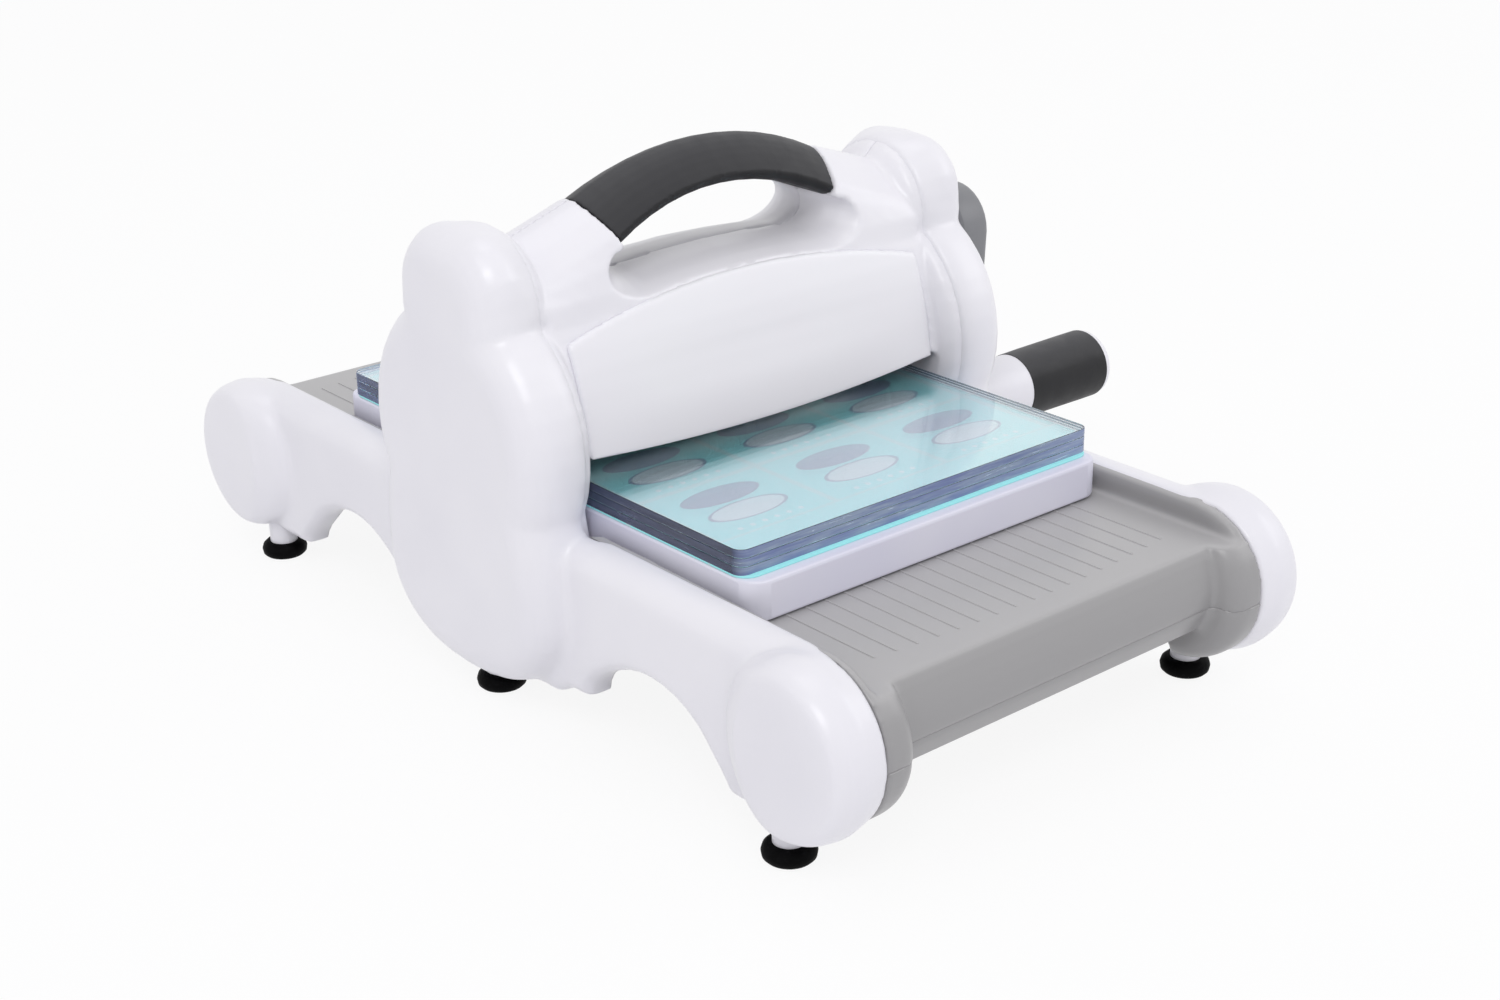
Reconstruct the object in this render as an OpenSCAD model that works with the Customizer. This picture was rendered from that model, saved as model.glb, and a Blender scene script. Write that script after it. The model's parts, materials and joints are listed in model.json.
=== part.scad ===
// Manual die cutting machine: a hand-cranked roller press for paper crafts.
// X runs along the rollers, +X towards the crank. -Y is the front tray, +Z is up.
// The origin is on the table, under the middle of the machine.

/* [Rollers] */
// Diameter of both steel rollers
roller_d = 33; // [28:0.5:36]
// How much longer the roller barrels are than the platform is wide
roller_margin = 1.4; // [0.6:0.1:2]
// Diameter of the roller journals
journal_d = 14; // [10:0.5:16]
// Height of the tray ribs, which is also the top of the lower roller
feed_z = 60; // [57:0.5:62]

/* [Stack] */
// Width of the platform
platform_w = 155.6; // [130:0.1:180]
// Length of the platform
platform_len = 234.4; // [200:0.1:260]
// Thickness of the platform
platform_t = 13.2; // [10:0.1:14]
// Length of each clear pad
pad_len = 222.2; // [190:0.1:250]
// Thickness of one clear pad
pad_t = 2.9; // [2:0.1:3.2]
// Thickness of the printed sheet under the pads
sheet_t = 0.7; // [0.4:0.1:1.5]
// How far the stack lies towards the front
stack_y = -2.4; // [-10:0.1:10]
// Corner radius of the platform and the pads
stack_corner = 4; // [1:0.5:8]

/* [Side shells] */
// Width of a side shell, from its seam to its outer face
shell_w = 23.5; // [22.5:0.5:28]
// Wall of the moulded shells
shell_t = 3.2; // [2:0.1:4]
// Radius of the outer edge of the shells
edge_r = 12; // [8:0.5:12]
// Radius of the inner edge of the shells
inner_edge_r = 13; // [11:0.5:16]
// Radius of the top lobe
top_r = 27.6; // [24:0.2:30]
// Height of the centre of the top lobe
top_z = 136; // [132:0.5:138]
// Radius of the middle lobe
mid_r = 48.7; // [46:0.2:50]
// Height of the centre of the middle lobe
mid_z = 93; // [90:0.5:95]
// Half width of the bottom lobe
low_w = 48; // [46:0.5:50]
// Height at which the bottom lobe is widest
low_z = 46; // [42:0.5:50]
// Height of the underside of the middle of the shell
low_base = 8.8; // [8:0.1:11]
// Radius of the round ends of the legs
foot_lobe_r = 29; // [26:0.5:31]
// Distance from the middle to the round ends of the legs
foot_lobe_y = 158; // [150:1:165]
// Height of the centre of the round ends of the legs
foot_lobe_z = 41; // [40:0.5:43]
// Width of the round ends of the legs, from the seam
foot_lobe_w = 21; // [19:0.5:23]
// Width of the legs, from the seam
leg_w = 11.5; // [10:0.5:13]
// How far the legs rise above the trays
leg_rise = 8.6; // [6:0.2:10]
// Height of the underside of the legs
leg_base = 12; // [11:0.5:14]
// Distance from the middle to the centre of the arch under a leg
arch_y = 88; // [84:1:92]
// Half width of the arch
arch_w = 33; // [25:1:34]
// Height of the arch
arch_h = 23.5; // [16:0.5:28]

/* [Upper housing] */
// Gap between the platform and the end flanges
side_gap = 1.2; // [1:0.1:3]
// Width of the end flanges
flange_w = 5; // [4:0.5:8]
// Height of the lower edge of the covers above the stack
cover_gap = 7.5; // [3:0.1:10]
// Distance from the middle to the lower edge of the covers
cover_y = 38.4; // [37:0.2:40]
// Height of the floor of the hand opening above the upper roller
floor_gap = 24.8; // [24:0.1:30]
// Thickness of the front and rear panels
panel_t = 2.4; // [1.8:0.1:3]
// Distance from the end of a panel to the end flange
panel_in = 2; // [1:0.5:9]
// How far the top edge of a panel is below the floor of the hand opening
panel_drop = 5; // [4:0.5:12]
// How much higher a panel is at its middle than at its ends
panel_rise = 9.7; // [4:0.1:14]

/* [Carry handle] */
// Height of the hand opening under the grip
hand_gap = 21.3; // [18:0.1:26]
// Thickness of the handle at its middle
handle_t = 14.5; // [12:0.5:16]
// Half width of the handle at its middle
handle_w = 15.5; // [13:0.5:18]
// Half width of the handle at the ends of the grip
handle_end_w = 18.5; // [17:0.5:20]
// Half angle of the soft grip
grip_angle = 27.8; // [26:0.2:30]
// Diameter of the bar inside the grip
core_d = 8; // [6:0.5:9]

/* [Trays] */
// Thickness of the tray walls
tray_t = 3; // [2:0.1:3.5]
// Height of the ribs on the trays
rib_h = 0.4; // [0.2:0.1:0.8]
// Spacing of the ribs on the trays
rib_pitch = 8; // [5:0.5:12]
// Distance from the centre of the round ends to the crease of a tray
crease_out = 13; // [8:0.5:15]
// Height of the parting between a tray and its base
parting_z = 39; // [36:0.5:42]
// Width of a tray rail
rail_w = 3.8; // [3:0.1:5]
// Width of a tray cheek
cheek_w = 14; // [10:0.5:18]

/* [Feet] */
// Diameter of a rubber foot
foot_d = 17.3; // [14:0.1:20]
// Height of a rubber foot
foot_h = 5.6; // [4:0.1:7]
// Diameter of a foot stem
stem_d = 10.5; // [8:0.1:12]
// Distance from the seam to the feet
foot_out = 7; // [5:0.5:10]
// Distance from the centre of the round ends to the end feet
foot_in = 8; // [0:1:18]
// How far the stems of the end feet reach into the legs
stem_grip = 6.8; // [5:0.1:9]

/* [Gears] */
// Teeth of the two roller gears
roller_teeth = 27; // [20:1:30]
// Module of the reduction gears
gear_m = 2; // [1.8:0.05:2.1]
// Teeth of the crank pinion
pinion_teeth = 14; // [12:1:16]
// Teeth of the large reduction gear
reduction_teeth = 24; // [23:1:26]
// Teeth of the small reduction gear
small_teeth = 14; // [13:1:15]
// Teeth of the drive gear on the lower roller
drive_teeth = 27; // [26:1:28]
// Width of a gear
gear_w = 6.5; // [5:0.5:7]
// Distance from the middle to the stud of the reduction gear
stud_y = 4.43; // [0:0.01:12]

/* [Crank] */
// Diameter of the crank shaft
crank_shaft_d = 12; // [10:0.5:12]
// Distance from the crank shaft to the knob
crank_throw = 74.8; // [60:0.2:80]
// Radius of the hub of the crank arm
hub_r = 17; // [14:0.5:19]
// Radius of the knob end of the crank arm
arm_end_r = 12.5; // [10:0.5:14]
// Distance from the side shell to the outer face of the crank arm
arm_out = 20.5; // [18:0.5:24]
// Thickness of the crank arm
arm_t = 15; // [12:0.5:16]
// Radius of the grip of the knob
knob_r = 14; // [12:0.5:16]
// Distance from the crank arm to the joint between the collar and the grip
collar_len = 32; // [22:1:42]
// Distance from the crank arm to the outer end of the knob
knob_len = 79.5; // [64:0.5:87]

/* [Hidden] */

$fn = 48;
eps = 0.01;

// Clearances
run_gap = 0.3;      // between the rollers and the stack
shaft_gap = 0.05;   // radial play of a turning shaft
fit_gap = 0.2;      // between two mouldings that meet

// Distances from the middle across the machine
roller_len = platform_w + roller_margin;
flange_x = platform_w / 2 + side_gap;
seam_x = flange_x + flange_w;
shell_x = seam_x + shell_w;
foot_lobe_x = seam_x + foot_lobe_w;
leg_x = seam_x + leg_w;
panel_x = flange_x - panel_in;
rail_x = seam_x - rail_w;
cheek_x = seam_x - cheek_w;
foot_x = seam_x + foot_out;
arm_x = shell_x + arm_out;
collar_x = arm_x + collar_len;
knob_end_x = arm_x + knob_len;

// Distances from the middle along the machine
crease_y = foot_lobe_y + crease_out;
foot_y = foot_lobe_y - foot_in;

// Heights of the stack
platform_z = feed_z + run_gap;
sheet_z = platform_z + platform_t;
lower_pad_z = sheet_z + sheet_t;
middle_pad_z = lower_pad_z + pad_t;
upper_pad_z = middle_pad_z + pad_t;
stack_top = upper_pad_z + pad_t;

// Roller axes
roller_r = roller_d / 2;
lower_z = feed_z - roller_r;
upper_z = stack_top + run_gap + roller_r;
leg_top = feed_z + leg_rise;
cover_z = stack_top + cover_gap;
floor_z = upper_z + roller_r + floor_gap;
panel_mid_z = floor_z - panel_drop;
panel_end_z = panel_mid_z - panel_rise;
roller_gear_m = (upper_z - lower_z) / roller_teeth;

// Side plates and gear planes, from the inside outwards
plate_x = seam_x + 0.3;
plate_t = 3;
plate_out = plate_x + plate_t;
drive_x = plate_out + 1.4;
reduction_x = drive_x + gear_w + 0.5;

// The reduction gear stands where both of its meshes have their centre distance,
// and the crank shaft above it
pinion_r = gear_m * pinion_teeth / 2;
large_r = gear_m * reduction_teeth / 2;
small_r = gear_m * small_teeth / 2;
drive_r = gear_m * drive_teeth / 2;
crank_mesh = pinion_r + large_r;
roller_mesh = small_r + drive_r;
stud_z = lower_z + sqrt(roller_mesh * roller_mesh - stud_y * stud_y);
crank_z = stud_z + sqrt(crank_mesh * crank_mesh - stud_y * stud_y);
knob_z = crank_z - crank_throw;
stud_d = 8;

// Depth of the inner edge at the seam
seam_d = edge_depth(inner_edge_r, inner_edge_r - 7);
cheek_r = foot_lobe_r - seam_d;

// Arcs of the carry handle: centre heights and radii of its top and its underside
handle_top = floor_z + hand_gap + handle_t;
crown_r = 116.9;
crown_c = handle_top - crown_r;
under_r = 94.3;
under_c = handle_top - handle_t - under_r;
handle_z0 = (crown_c + under_c) / 2;
handle_c = handle_top - handle_t / 2 - handle_z0;

// Trays
tray_z = feed_z - rib_h;
tray_in = 12;
rail_in = max(low_w, mid_r) - 3;
lip_base = 30.5;
well_z = lower_z - roller_r - 5;

// Steel frame
rod_d = 9;
rod_screw_d = 5;
upper_rod_y = 15;
upper_rod_z = floor_z - 12;
rod_places = [[-upper_rod_y, upper_rod_z], [upper_rod_y, upper_rod_z], [-30, lower_z - 12], [30, lower_z - 12]];
bush_t = 3;
spindle_d = 8;
shell_screw_y = mid_r - 12.7;
shell_screw_head_r = 3;
head_gap = 0.5;
shoulder_y = shell_screw_y - 6;
shell_screw_places = [[-shell_screw_y, mid_z + 7], [shell_screw_y, mid_z + 7],
    [-12, top_z + 14], [12, top_z + 14]];

// Inner walls of the housing, as [y, z]
cover_t = 4.4;
inner_wall = [[cover_y - cover_t, cover_z - 10], [cover_y - cover_t - 1, cover_z + 13.6],
    [cover_y - cover_t - 6, floor_z - 20], [20, floor_z - 7], [8, floor_z - 5.5]];
inner_back = [for (i = [0:4]) inner_wall[4 - i]];

// White, greys and other colours
shell_white = [0.95, 0.95, 0.97];
tray_grey = [0.63, 0.62, 0.63];
charcoal = [0.27, 0.27, 0.28];
arm_grey = [0.55, 0.55, 0.57];
steel = [0.62, 0.64, 0.67];
rubber_black = [0.07, 0.07, 0.08];

// ---------------------------------------------------------------- helpers

// How far a round edge of radius r has turned in, at the distance up to its flat end
function edge_depth(r, up) = r - sqrt(max(0, r * r - (r - up) * (r - up)));

// Upper crossing of two circles centred on the Z axis: [y, z]
function crossing(z1, r1, z2, r2) =
    let (z = (r1 * r1 - r2 * r2 + z2 * z2 - z1 * z1) / (2 * (z2 - z1)))
    [sqrt(max(0, r1 * r1 - (z - z1) * (z - z1))), z];

// Points of an arc in the YZ plane, both ends included
function arc(cy, cz, r, a0, a1, n) =
    [for (i = [0:n]) let (a = a0 + (a1 - a0) * i / n) [cy + r * cos(a), cz + r * sin(a)]];

// A solid skinned over closed rings of points, with a fan at both ends
module loft(rings, first, last) {
    n = len(rings[0]);
    m = len(rings);
    points = concat([for (r = rings) each r], [first, last]);
    sides = [for (k = [0:m - 2], i = [0:n - 1]) let (a = k * n + i, b = k * n + (i + 1) % n)
        each [[b + n, b, a], [a + n, b + n, a]]];
    caps = [for (i = [0:n - 1]) let (j = (i + 1) % n)
        each [[n * m, i, j], [n * m + 1, (m - 1) * n + j, (m - 1) * n + i]]];
    polyhedron(points = points, faces = concat(sides, caps), convexity = 8);
}

// Turns a YZ outline, given as [y, z], into a plate from x0 to x1
module plate(x0, x1) {
    translate([x0, 0, 0])
        rotate([90, 0, 90])
            linear_extrude(height = x1 - x0, convexity = 6)
                children();
}

// Turns an XZ outline, given as [x, z], into a slab from y0 to y1
module slab(y0, y1) {
    translate([0, y1, 0])
        rotate([90, 0, 0])
            linear_extrude(height = y1 - y0, convexity = 6)
                children();
}

// A rod along X, from x0 to x1
module rod(x0, x1, r, y = 0, z = 0) {
    translate([x0, y, z])
        rotate([0, 90, 0])
            cylinder(h = x1 - x0, r = r);
}

// A body of revolution about a line along X; the outline is [x, radius]
module turned(points, y = 0, z = 0) {
    translate([0, y, z])
        rotate([0, 90, 0])
            rotate_extrude(convexity = 4)
                polygon([for (p = points) [p[1], p[0]]]);
}

// Copies its children to the other side of the YZ plane
module both_x() {
    children();
    mirror([1, 0, 0])
        children();
}

// Copies its children to the rear
module both_y() {
    children();
    mirror([0, 1, 0])
        children();
}

// ------------------------------------------------------------ side shells

// Half outline of the medallion from its foot to its top, turned in by d
function medallion_half(d) =
    let (
        side_r = 112.5,
        side_y = low_w - side_r,
        gap = sqrt(side_y * side_y + (mid_z - low_z) * (mid_z - low_z)),
        r1 = side_r - d,
        r2 = mid_r - d,
        along = (r1 * r1 - r2 * r2 + gap * gap) / (2 * gap),
        off = sqrt(max(0, r1 * r1 - along * along)),
        uy = -side_y / gap,
        uz = (mid_z - low_z) / gap,
        waist = [side_y + uy * along + uz * off, low_z + uz * along - uy * off],
        notch = crossing(mid_z, r2, top_z, top_r - d),
        waist_a = atan2(waist[1] - low_z, waist[0] - side_y),
        mid_a0 = atan2(waist[1] - mid_z, waist[0]),
        mid_a1 = atan2(notch[1] - mid_z, notch[0]),
        top_a0 = atan2(notch[1] - top_z, notch[0])
    )
    concat(
        [for (i = [0:8]) let (t = 90 - 90 * i / 8)
            [(low_w - d) * pow(cos(t), 0.87), low_z - (low_z - low_base - d) * pow(sin(t), 0.87)]],
        [for (i = [1:2]) let (a = waist_a * i / 3) [side_y + r1 * cos(a), low_z + r1 * sin(a)]],
        [for (p = arc(0, mid_z, r2, mid_a0, mid_a1, 9)) p],
        [for (i = [1:8]) let (a = top_a0 + (90 - top_a0) * i / 8)
            [(top_r - d) * cos(a), top_z + (top_r - d) * sin(a)]]
    );

// Whole outline of the medallion, anticlockwise
function medallion(d) =
    let (half = medallion_half(d), n = len(half))
    concat(half, [for (i = [1:n - 2]) let (p = half[n - 1 - i]) [-p[0], p[1]]]);

// One ring of the medallion at x
function medallion_ring(x, d) = [for (p = medallion(d)) [x, p[0], p[1]]];

// Medallion of a side shell, from the seam to the outer face
module medallion_body() {
    steps = 5;
    inner = [for (i = [0:3]) let (x = seam_x + 7 * i / 3)
        medallion_ring(x, edge_depth(inner_edge_r, inner_edge_r - 7 + 7 * i / 3))];
    outer = [for (i = [0:steps]) let (a = 90 * i / steps)
        medallion_ring(shell_x - edge_r * (1 - sin(a)), edge_r * (1 - cos(a)))];
    loft(concat(inner, outer), [seam_x, 0, mid_z], [shell_x, 0, mid_z]);
}

// Round end of a leg, at the front
module foot_lobe() {
    turned(concat(
        [[seam_x, 0], [seam_x, cheek_r]],
        [for (i = [0:6]) let (a = 90 * i / 6)
            [foot_lobe_x - edge_r * (1 - sin(a)), foot_lobe_r - edge_r * (1 - cos(a))]],
        [[foot_lobe_x, 0]]), -foot_lobe_y, foot_lobe_z);
}

// Web of a leg, at the front
module leg_web() {
    r = 9;
    slab_y = foot_lobe_y - 4;
    translate([0, -20, 0])
        rotate([90, 0, 0])
            linear_extrude(height = slab_y - 20)
                polygon(concat(
                    [[seam_x, leg_base]],
                    [for (i = [0:4]) let (a = -90 + 90 * i / 4)
                        [leg_x - 4 + 4 * cos(a), leg_base + 4 + 4 * sin(a)]],
                    [for (i = [0:6]) let (a = 90 * i / 6)
                        [leg_x - r + r * cos(a), leg_top - r + r * sin(a)]],
                    [[seam_x, leg_top]]));
}

// Outline of the arch under a leg, at the front, grown by g
module arch_outline(g) {
    polygon([for (i = [0:16]) let (a = 180 * i / 16)
        [-arch_y + (arch_w + g) * cos(a), leg_base - 2 + (arch_h + 2 + g) * sin(a)]]);
}

// The arch cut, which opens out at the face of the leg
module arch_cut() {
    plate(seam_x - 1, leg_x + 1)
        arch_outline(0);
    loft([for (i = [0:3]) let (t = i / 3, g = 5 * t * t, x = leg_x - 5 + 6 * t)
        concat([for (k = [0:16]) let (a = 180 * k / 16)
            [x, -arch_y + (arch_w + g) * cos(a), leg_base - 2 + (arch_h + 2 + g) * sin(a)]],
            [[x, -arch_y, leg_base - 9]])],
        [leg_x - 5, -arch_y, leg_base], [leg_x + 1, -arch_y, leg_base]);
}

// Hollow inside a side shell, open at the seam
module shell_hollow() {
    plate(seam_x - 1, seam_x + 4)
        polygon(medallion(shell_t + seam_d));
    plate(seam_x + 3, shell_x - edge_r + 0.4)
        polygon(medallion(shell_t));
    plate(seam_x + 3, shell_x - shell_t)
        polygon(medallion(shell_t + 3.2));
    both_y() {
        difference() {
            plate(seam_x - 1, leg_x - shell_t)
                translate([-foot_lobe_y, leg_base + shell_t])
                    square([foot_lobe_y - 30, leg_top - leg_base - 2 * shell_t - 4]);
            plate(seam_x - 2, leg_x)
                arch_outline(shell_t);
        }
        rod(seam_x - 1, foot_lobe_x - edge_r, foot_lobe_r - shell_t - seam_d, -foot_lobe_y, foot_lobe_z);
    }
}

// Height at which the shell above a foot begins
function foot_base(y) = y == 0 ? low_base : foot_lobe_z - foot_lobe_r + 1.2;

// Height at which a foot stem ends; the middle ones stay below the gears
function foot_end(y) = y == 0 ? low_base + shell_t - 0.8 : foot_base(y) + stem_grip;

// Bosses for the foot stems, inside the legs and the medallion
module foot_bosses() {
    for (y = [-foot_y, 0, foot_y])
        translate([foot_x, y, foot_base(y) + 1.6])
            cylinder(h = foot_end(y) + (y == 0 ? 0.8 : 2.5) - foot_base(y) - 1.6, r = stem_d / 2 + 1.6);
}

// Bores that take the foot stems
module foot_bores() {
    for (y = [-foot_y, 0, foot_y])
        translate([foot_x, y, 0])
            cylinder(h = foot_end(y), r = stem_d / 2);
}

module side_shell() {
    difference() {
        union() {
            difference() {
                union() {
                    medallion_body();
                    both_y() {
                        leg_web();
                        foot_lobe();
                    }
                }
                both_y()
                    arch_cut();
                shell_hollow();
            }
            foot_bosses();
        }
        foot_bores();
    }
}

module side_shell_left() {
    color(shell_white)
        mirror([1, 0, 0])
            side_shell();
}

module side_shell_right() {
    color(shell_white)
        difference() {
            side_shell();
            rod(shell_x - 10, shell_x + 1, crank_shaft_d / 2 + 3, 0, crank_z);
        }
}

// ----------------------------------------------------------- upper housing

// Height of the crown of the housing at x
function crown_z(x) =
    let (end_x = handle_c * sin(grip_angle), end_z = crown_c + sqrt(crown_r * crown_r - end_x * end_x))
    abs(x) < end_x ? crown_c + sqrt(crown_r * crown_r - x * x) : end_z - 0.33 * (abs(x) - end_x);

// Half section of the housing at x, from the cover edge to the crown
function housing_half_section(x) =
    let (c = crown_z(x), w = handle_end_w, brow = floor_z - 10, neck = floor_z - 3)
    concat(
        [for (i = [0:5]) let (t = i / 5)
            [cover_y - (cover_y - w - 7.5) * t + 2.2 * sin(180 * t), cover_z + (brow - cover_z) * t]],
        [[w + 5.9, neck], [w + 3.1, (neck + c - 11) / 2 + 1]],
        [for (i = [0:5]) let (s = 1 - i / 5) [w * s, c - 11 * pow(s, 1.6)]]
    );

// One ring of the housing at x, anticlockwise
function housing_ring(x) =
    let (half = housing_half_section(x), n = len(half))
    concat([for (p = half) [x, p[0], p[1]]],
        [for (i = [1:n - 1]) let (p = half[n - 1 - i]) [x, -p[0], p[1]]]);

// The domed outside of the housing
module housing_dome() {
    reach = flange_x + 2;
    half = [0.12, 0.37, 0.57, 0.67, 0.77, 0.865, 1];
    xs = concat([for (i = [0:6]) -reach * half[6 - i]], [for (k = half) reach * k]);
    loft([for (x = xs) housing_ring(x)], [-reach, 0, cover_z + 20], [reach, 0, cover_z + 20]);
}

// Medallion shaped flange at an end of the housing
module housing_flange() {
    loft([for (i = [0:3]) let (x = flange_x + (seam_x - flange_x) * i / 3)
        medallion_ring(x, edge_depth(inner_edge_r, x - (seam_x + 7 - inner_edge_r)))],
        [flange_x, 0, mid_z], [seam_x, 0, mid_z]);
}

// One ring of the hand opening at depth y; it widens towards both faces
function opening_ring(y) =
    let (
        t = abs(y) / 22,
        flare = 8 * t * t,
        drop = 4 * t * t,
        throat = (handle_c - 14) * sin(grip_angle) + 2,
        rise = [for (i = [0:6]) let (a = -90 + 125 * i / 6)
            [throat - 7 + (9 + flare) * cos(a), floor_z + 5 - drop / 2 + (7 + drop / 2) * sin(a)]],
        lip_r = under_r + (under_c - handle_z0) * cos(grip_angle) - fit_gap,
        lip = [lip_r * sin(grip_angle) + fit_gap, handle_z0 + lip_r * cos(grip_angle)],
        far = [lip[0] + 60 * sin(grip_angle), lip[1] + 60 * cos(grip_angle)],
        right = concat([[18, floor_z - 0.6 - drop]], rise, [lip, far])
    )
    concat(
        [[0, y, floor_z - drop]],
        [for (p = right) [p[0], y, p[1]]],
        [for (i = [0:len(right) - 1]) let (p = right[len(right) - 1 - i]) [-p[0], y, p[1]]]
    );

// The hand opening, with the room for the grip above it
module hand_opening() {
    ys = [-32, -26, -22, -17, -11, -4, 4, 11, 17, 22, 26, 32];
    loft([for (y = ys) opening_ring(-y)], [0, 32, floor_z + 12], [0, -32, floor_z + 12]);
}

// Outline of a panel in the XZ plane, shrunk by g
module panel_outline(g) {
    rise = panel_mid_z - panel_end_z;
    r = (panel_x * panel_x + rise * rise) / (2 * rise);
    intersection() {
        translate([-panel_x + g, cover_z - 1])
            square([2 * (panel_x - g), panel_mid_z - cover_z + 10]);
        translate([0, panel_mid_z - r - g])
            circle(r = r, $fn = 180);
    }
}

// Section of a panel: the face of the housing, in to depth t
module panel_section(t, out) {
    face = [for (i = [0:7]) let (k = i / 7)
        [cover_y - (cover_y - handle_end_w - 5.5) * k + 2.4 * sin(180 * pow(k, 1.1)),
            cover_z + (floor_z - 3.5 - cover_z) * k]];
    polygon(concat(
        [for (p = face) [-p[0] - out, p[1]]],
        [for (i = [0:7]) let (p = face[7 - i]) [-p[0] + t, p[1]]]));
}

// Makes one mesh of a sculpted body, so that bores cut in it afterwards stay exact
module sculpted() {
    resize([0, 0, 0])
        children();
}

// Front half of the housing, without its bores
module housing_body() {
    intersection() {
        difference() {
            union() {
                housing_dome();
                both_x()
                    housing_flange();
            }
            hand_opening();
            // room for the upper roller
            plate(-flange_x, flange_x)
                polygon([for (s = [1, -1]) each [for (p = s > 0 ? inner_wall : inner_back) [s * p[0], p[1]]]]);
            // the mouth of the feed, below the covers
            translate([-flange_x, -mid_r - 12, feed_z - 20])
                cube([2 * flange_x, 2 * mid_r + 24, cover_z - feed_z + 20]);
            // seat of the panel
            intersection() {
                slab(-mid_r - 12, 0)
                    panel_outline(0);
                plate(-panel_x - 1, panel_x + 1)
                    panel_section(panel_t, 20);
            }
        }
        translate([-seam_x - 2, -mid_r - 30, feed_z + 2])
            cube([2 * seam_x + 4, mid_r + 30, handle_top - feed_z]);
    }
}

module housing_half() {
    difference() {
        sculpted()
            housing_body();
        for (x = [-seam_x - 1, flange_x - 1])
            rod(x, x + 6, journal_d / 2 + bush_t + 3, 0, upper_z);
        for (x = [-seam_x - 1, flange_x - 1])
            rod(x, x + 6, rod_d / 2 + fit_gap, -upper_rod_y, upper_rod_z);
        for (x = [-seam_x - 1, seam_x - 4], p = shell_screw_places)
            if (p[0] < 0)
                rod(x, x + 5, 1.5, p[0], p[1]);
        core_shape(core_d / 2);
    }
}

module housing_front() {
    color(shell_white)
        housing_half();
}

module housing_rear() {
    color(shell_white)
        mirror([0, 1, 0])
            housing_half();
}

module panel() {
    intersection() {
        slab(-mid_r - 12, 0)
            panel_outline(0.3);
        plate(-panel_x, panel_x)
            panel_section(panel_t, 0);
    }
}

module panel_front() {
    color([0.96, 0.96, 0.98])
        panel();
}

module panel_rear() {
    color([0.96, 0.96, 0.98])
        mirror([0, 1, 0])
            panel();
}

// ------------------------------------------------------------ carry handle

// One ring of the grip at angle a from the top
function grip_ring(a) =
    let (
        lo = (under_c - handle_z0) * cos(a) + under_r,
        hi = (crown_c - handle_z0) * cos(a) + crown_r,
        w = handle_w + (handle_end_w - handle_w) * pow(abs(a) / grip_angle, 2),
        h = hi - lo,
        half = concat(
            [[0, 0], [w - 3.5, 0], [w - 1, 1.1], [w, 3.5]],
            [for (i = [1:5]) let (s = 1 - i / 6) [w * s, 3.5 + (h - 3.5) * (1 - pow(s, 1.6))]],
            [[0, h]]),
        n = len(half)
    )
    [for (p = concat(half, [for (i = [1:n - 2]) [-half[n - 1 - i][0], half[n - 1 - i][1]]]))
        [(lo + p[1]) * sin(a), p[0], handle_z0 + (lo + p[1]) * cos(a)]];

// The curved bar that carries the grip
module core_shape(r) {
    reach = grip_angle + 8;
    translate([0, 0, handle_z0])
        rotate([90, 0, 0])
            rotate([0, 0, 90 - reach])
                rotate_extrude(angle = 2 * reach, $fn = 72)
                    translate([handle_c, 0])
                        circle(r = r, $fn = 24);
}

module handle_grip() {
    color(charcoal)
        difference() {
            loft([for (i = [0:12]) grip_ring(-grip_angle + 2 * grip_angle * i / 12)],
                [-handle_c * sin(grip_angle), 0, handle_z0 + handle_c * cos(grip_angle)],
                [handle_c * sin(grip_angle), 0, handle_z0 + handle_c * cos(grip_angle)]);
            core_shape(core_d / 2);
        }
}

module handle_core() {
    color(steel)
        core_shape(core_d / 2);
}

// ------------------------------------------------------------------ trays

// Front outline of a tray from the crease to its lower edge, in by t
function lip(t) = [for (i = [0:8]) let (k = i / 8)
    [-(crease_y - t * 0.6) - 5.5 * sin(180 * k * 0.97) + t * sin(180 * k * 0.5),
        tray_z - t * 0.9 * (1 - k) - (tray_z - lip_base) * k]];

// Section of a tray and its base together, as one shell
module tray_section() {
    outer = lip(0);
    inner = lip(tray_t);
    polygon(concat(
        [[-tray_in, tray_z]],
        outer,
        [for (i = [0:8]) inner[8 - i]],
        [[-tray_in, tray_z - tray_t]]));
}

// Side rail of a tray, which follows the seam of the side shell
module rail_outline() {
    difference() {
        union() {
            translate([-foot_lobe_y, tray_z - tray_t])
                square([foot_lobe_y - rail_in, leg_top - 0.6 - tray_z + tray_t]);
            intersection() {
                translate([-foot_lobe_y, foot_lobe_z])
                    circle(r = cheek_r - 0.2, $fn = 64);
                translate([-foot_lobe_y - 2 * cheek_r, tray_z - tray_t])
                    square([2 * cheek_r, 2 * cheek_r]);
            }
        }
    }
}

// Cheek at the front corner of a tray, with its rounded inner edge
module cheek() {
    r = 8;
    difference() {
        turned(concat(
            [[cheek_x, 0]],
            [for (i = [0:5]) let (a = 90 * i / 5)
                [cheek_x + r * (1 - cos(a)), cheek_r - r * (1 - sin(a))]],
            [[seam_x, cheek_r], [seam_x, 0]]), -foot_lobe_y, foot_lobe_z);
        intersection() {
            rod(cheek_x + tray_t, seam_x + 1, cheek_r - tray_t, -foot_lobe_y, foot_lobe_z);
            translate([cheek_x, -foot_lobe_y - 40, tray_z - tray_t - 80])
                cube([cheek_w + 2, 80, 80]);
        }
        translate([cheek_x - 1, -foot_lobe_y - 40, tray_z])
            cube([cheek_w + 2, 80, 40]);
        translate([cheek_x - 1, -foot_lobe_y, tray_z - 80])
            cube([cheek_w + 2, 40, 80]);
    }
}

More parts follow.
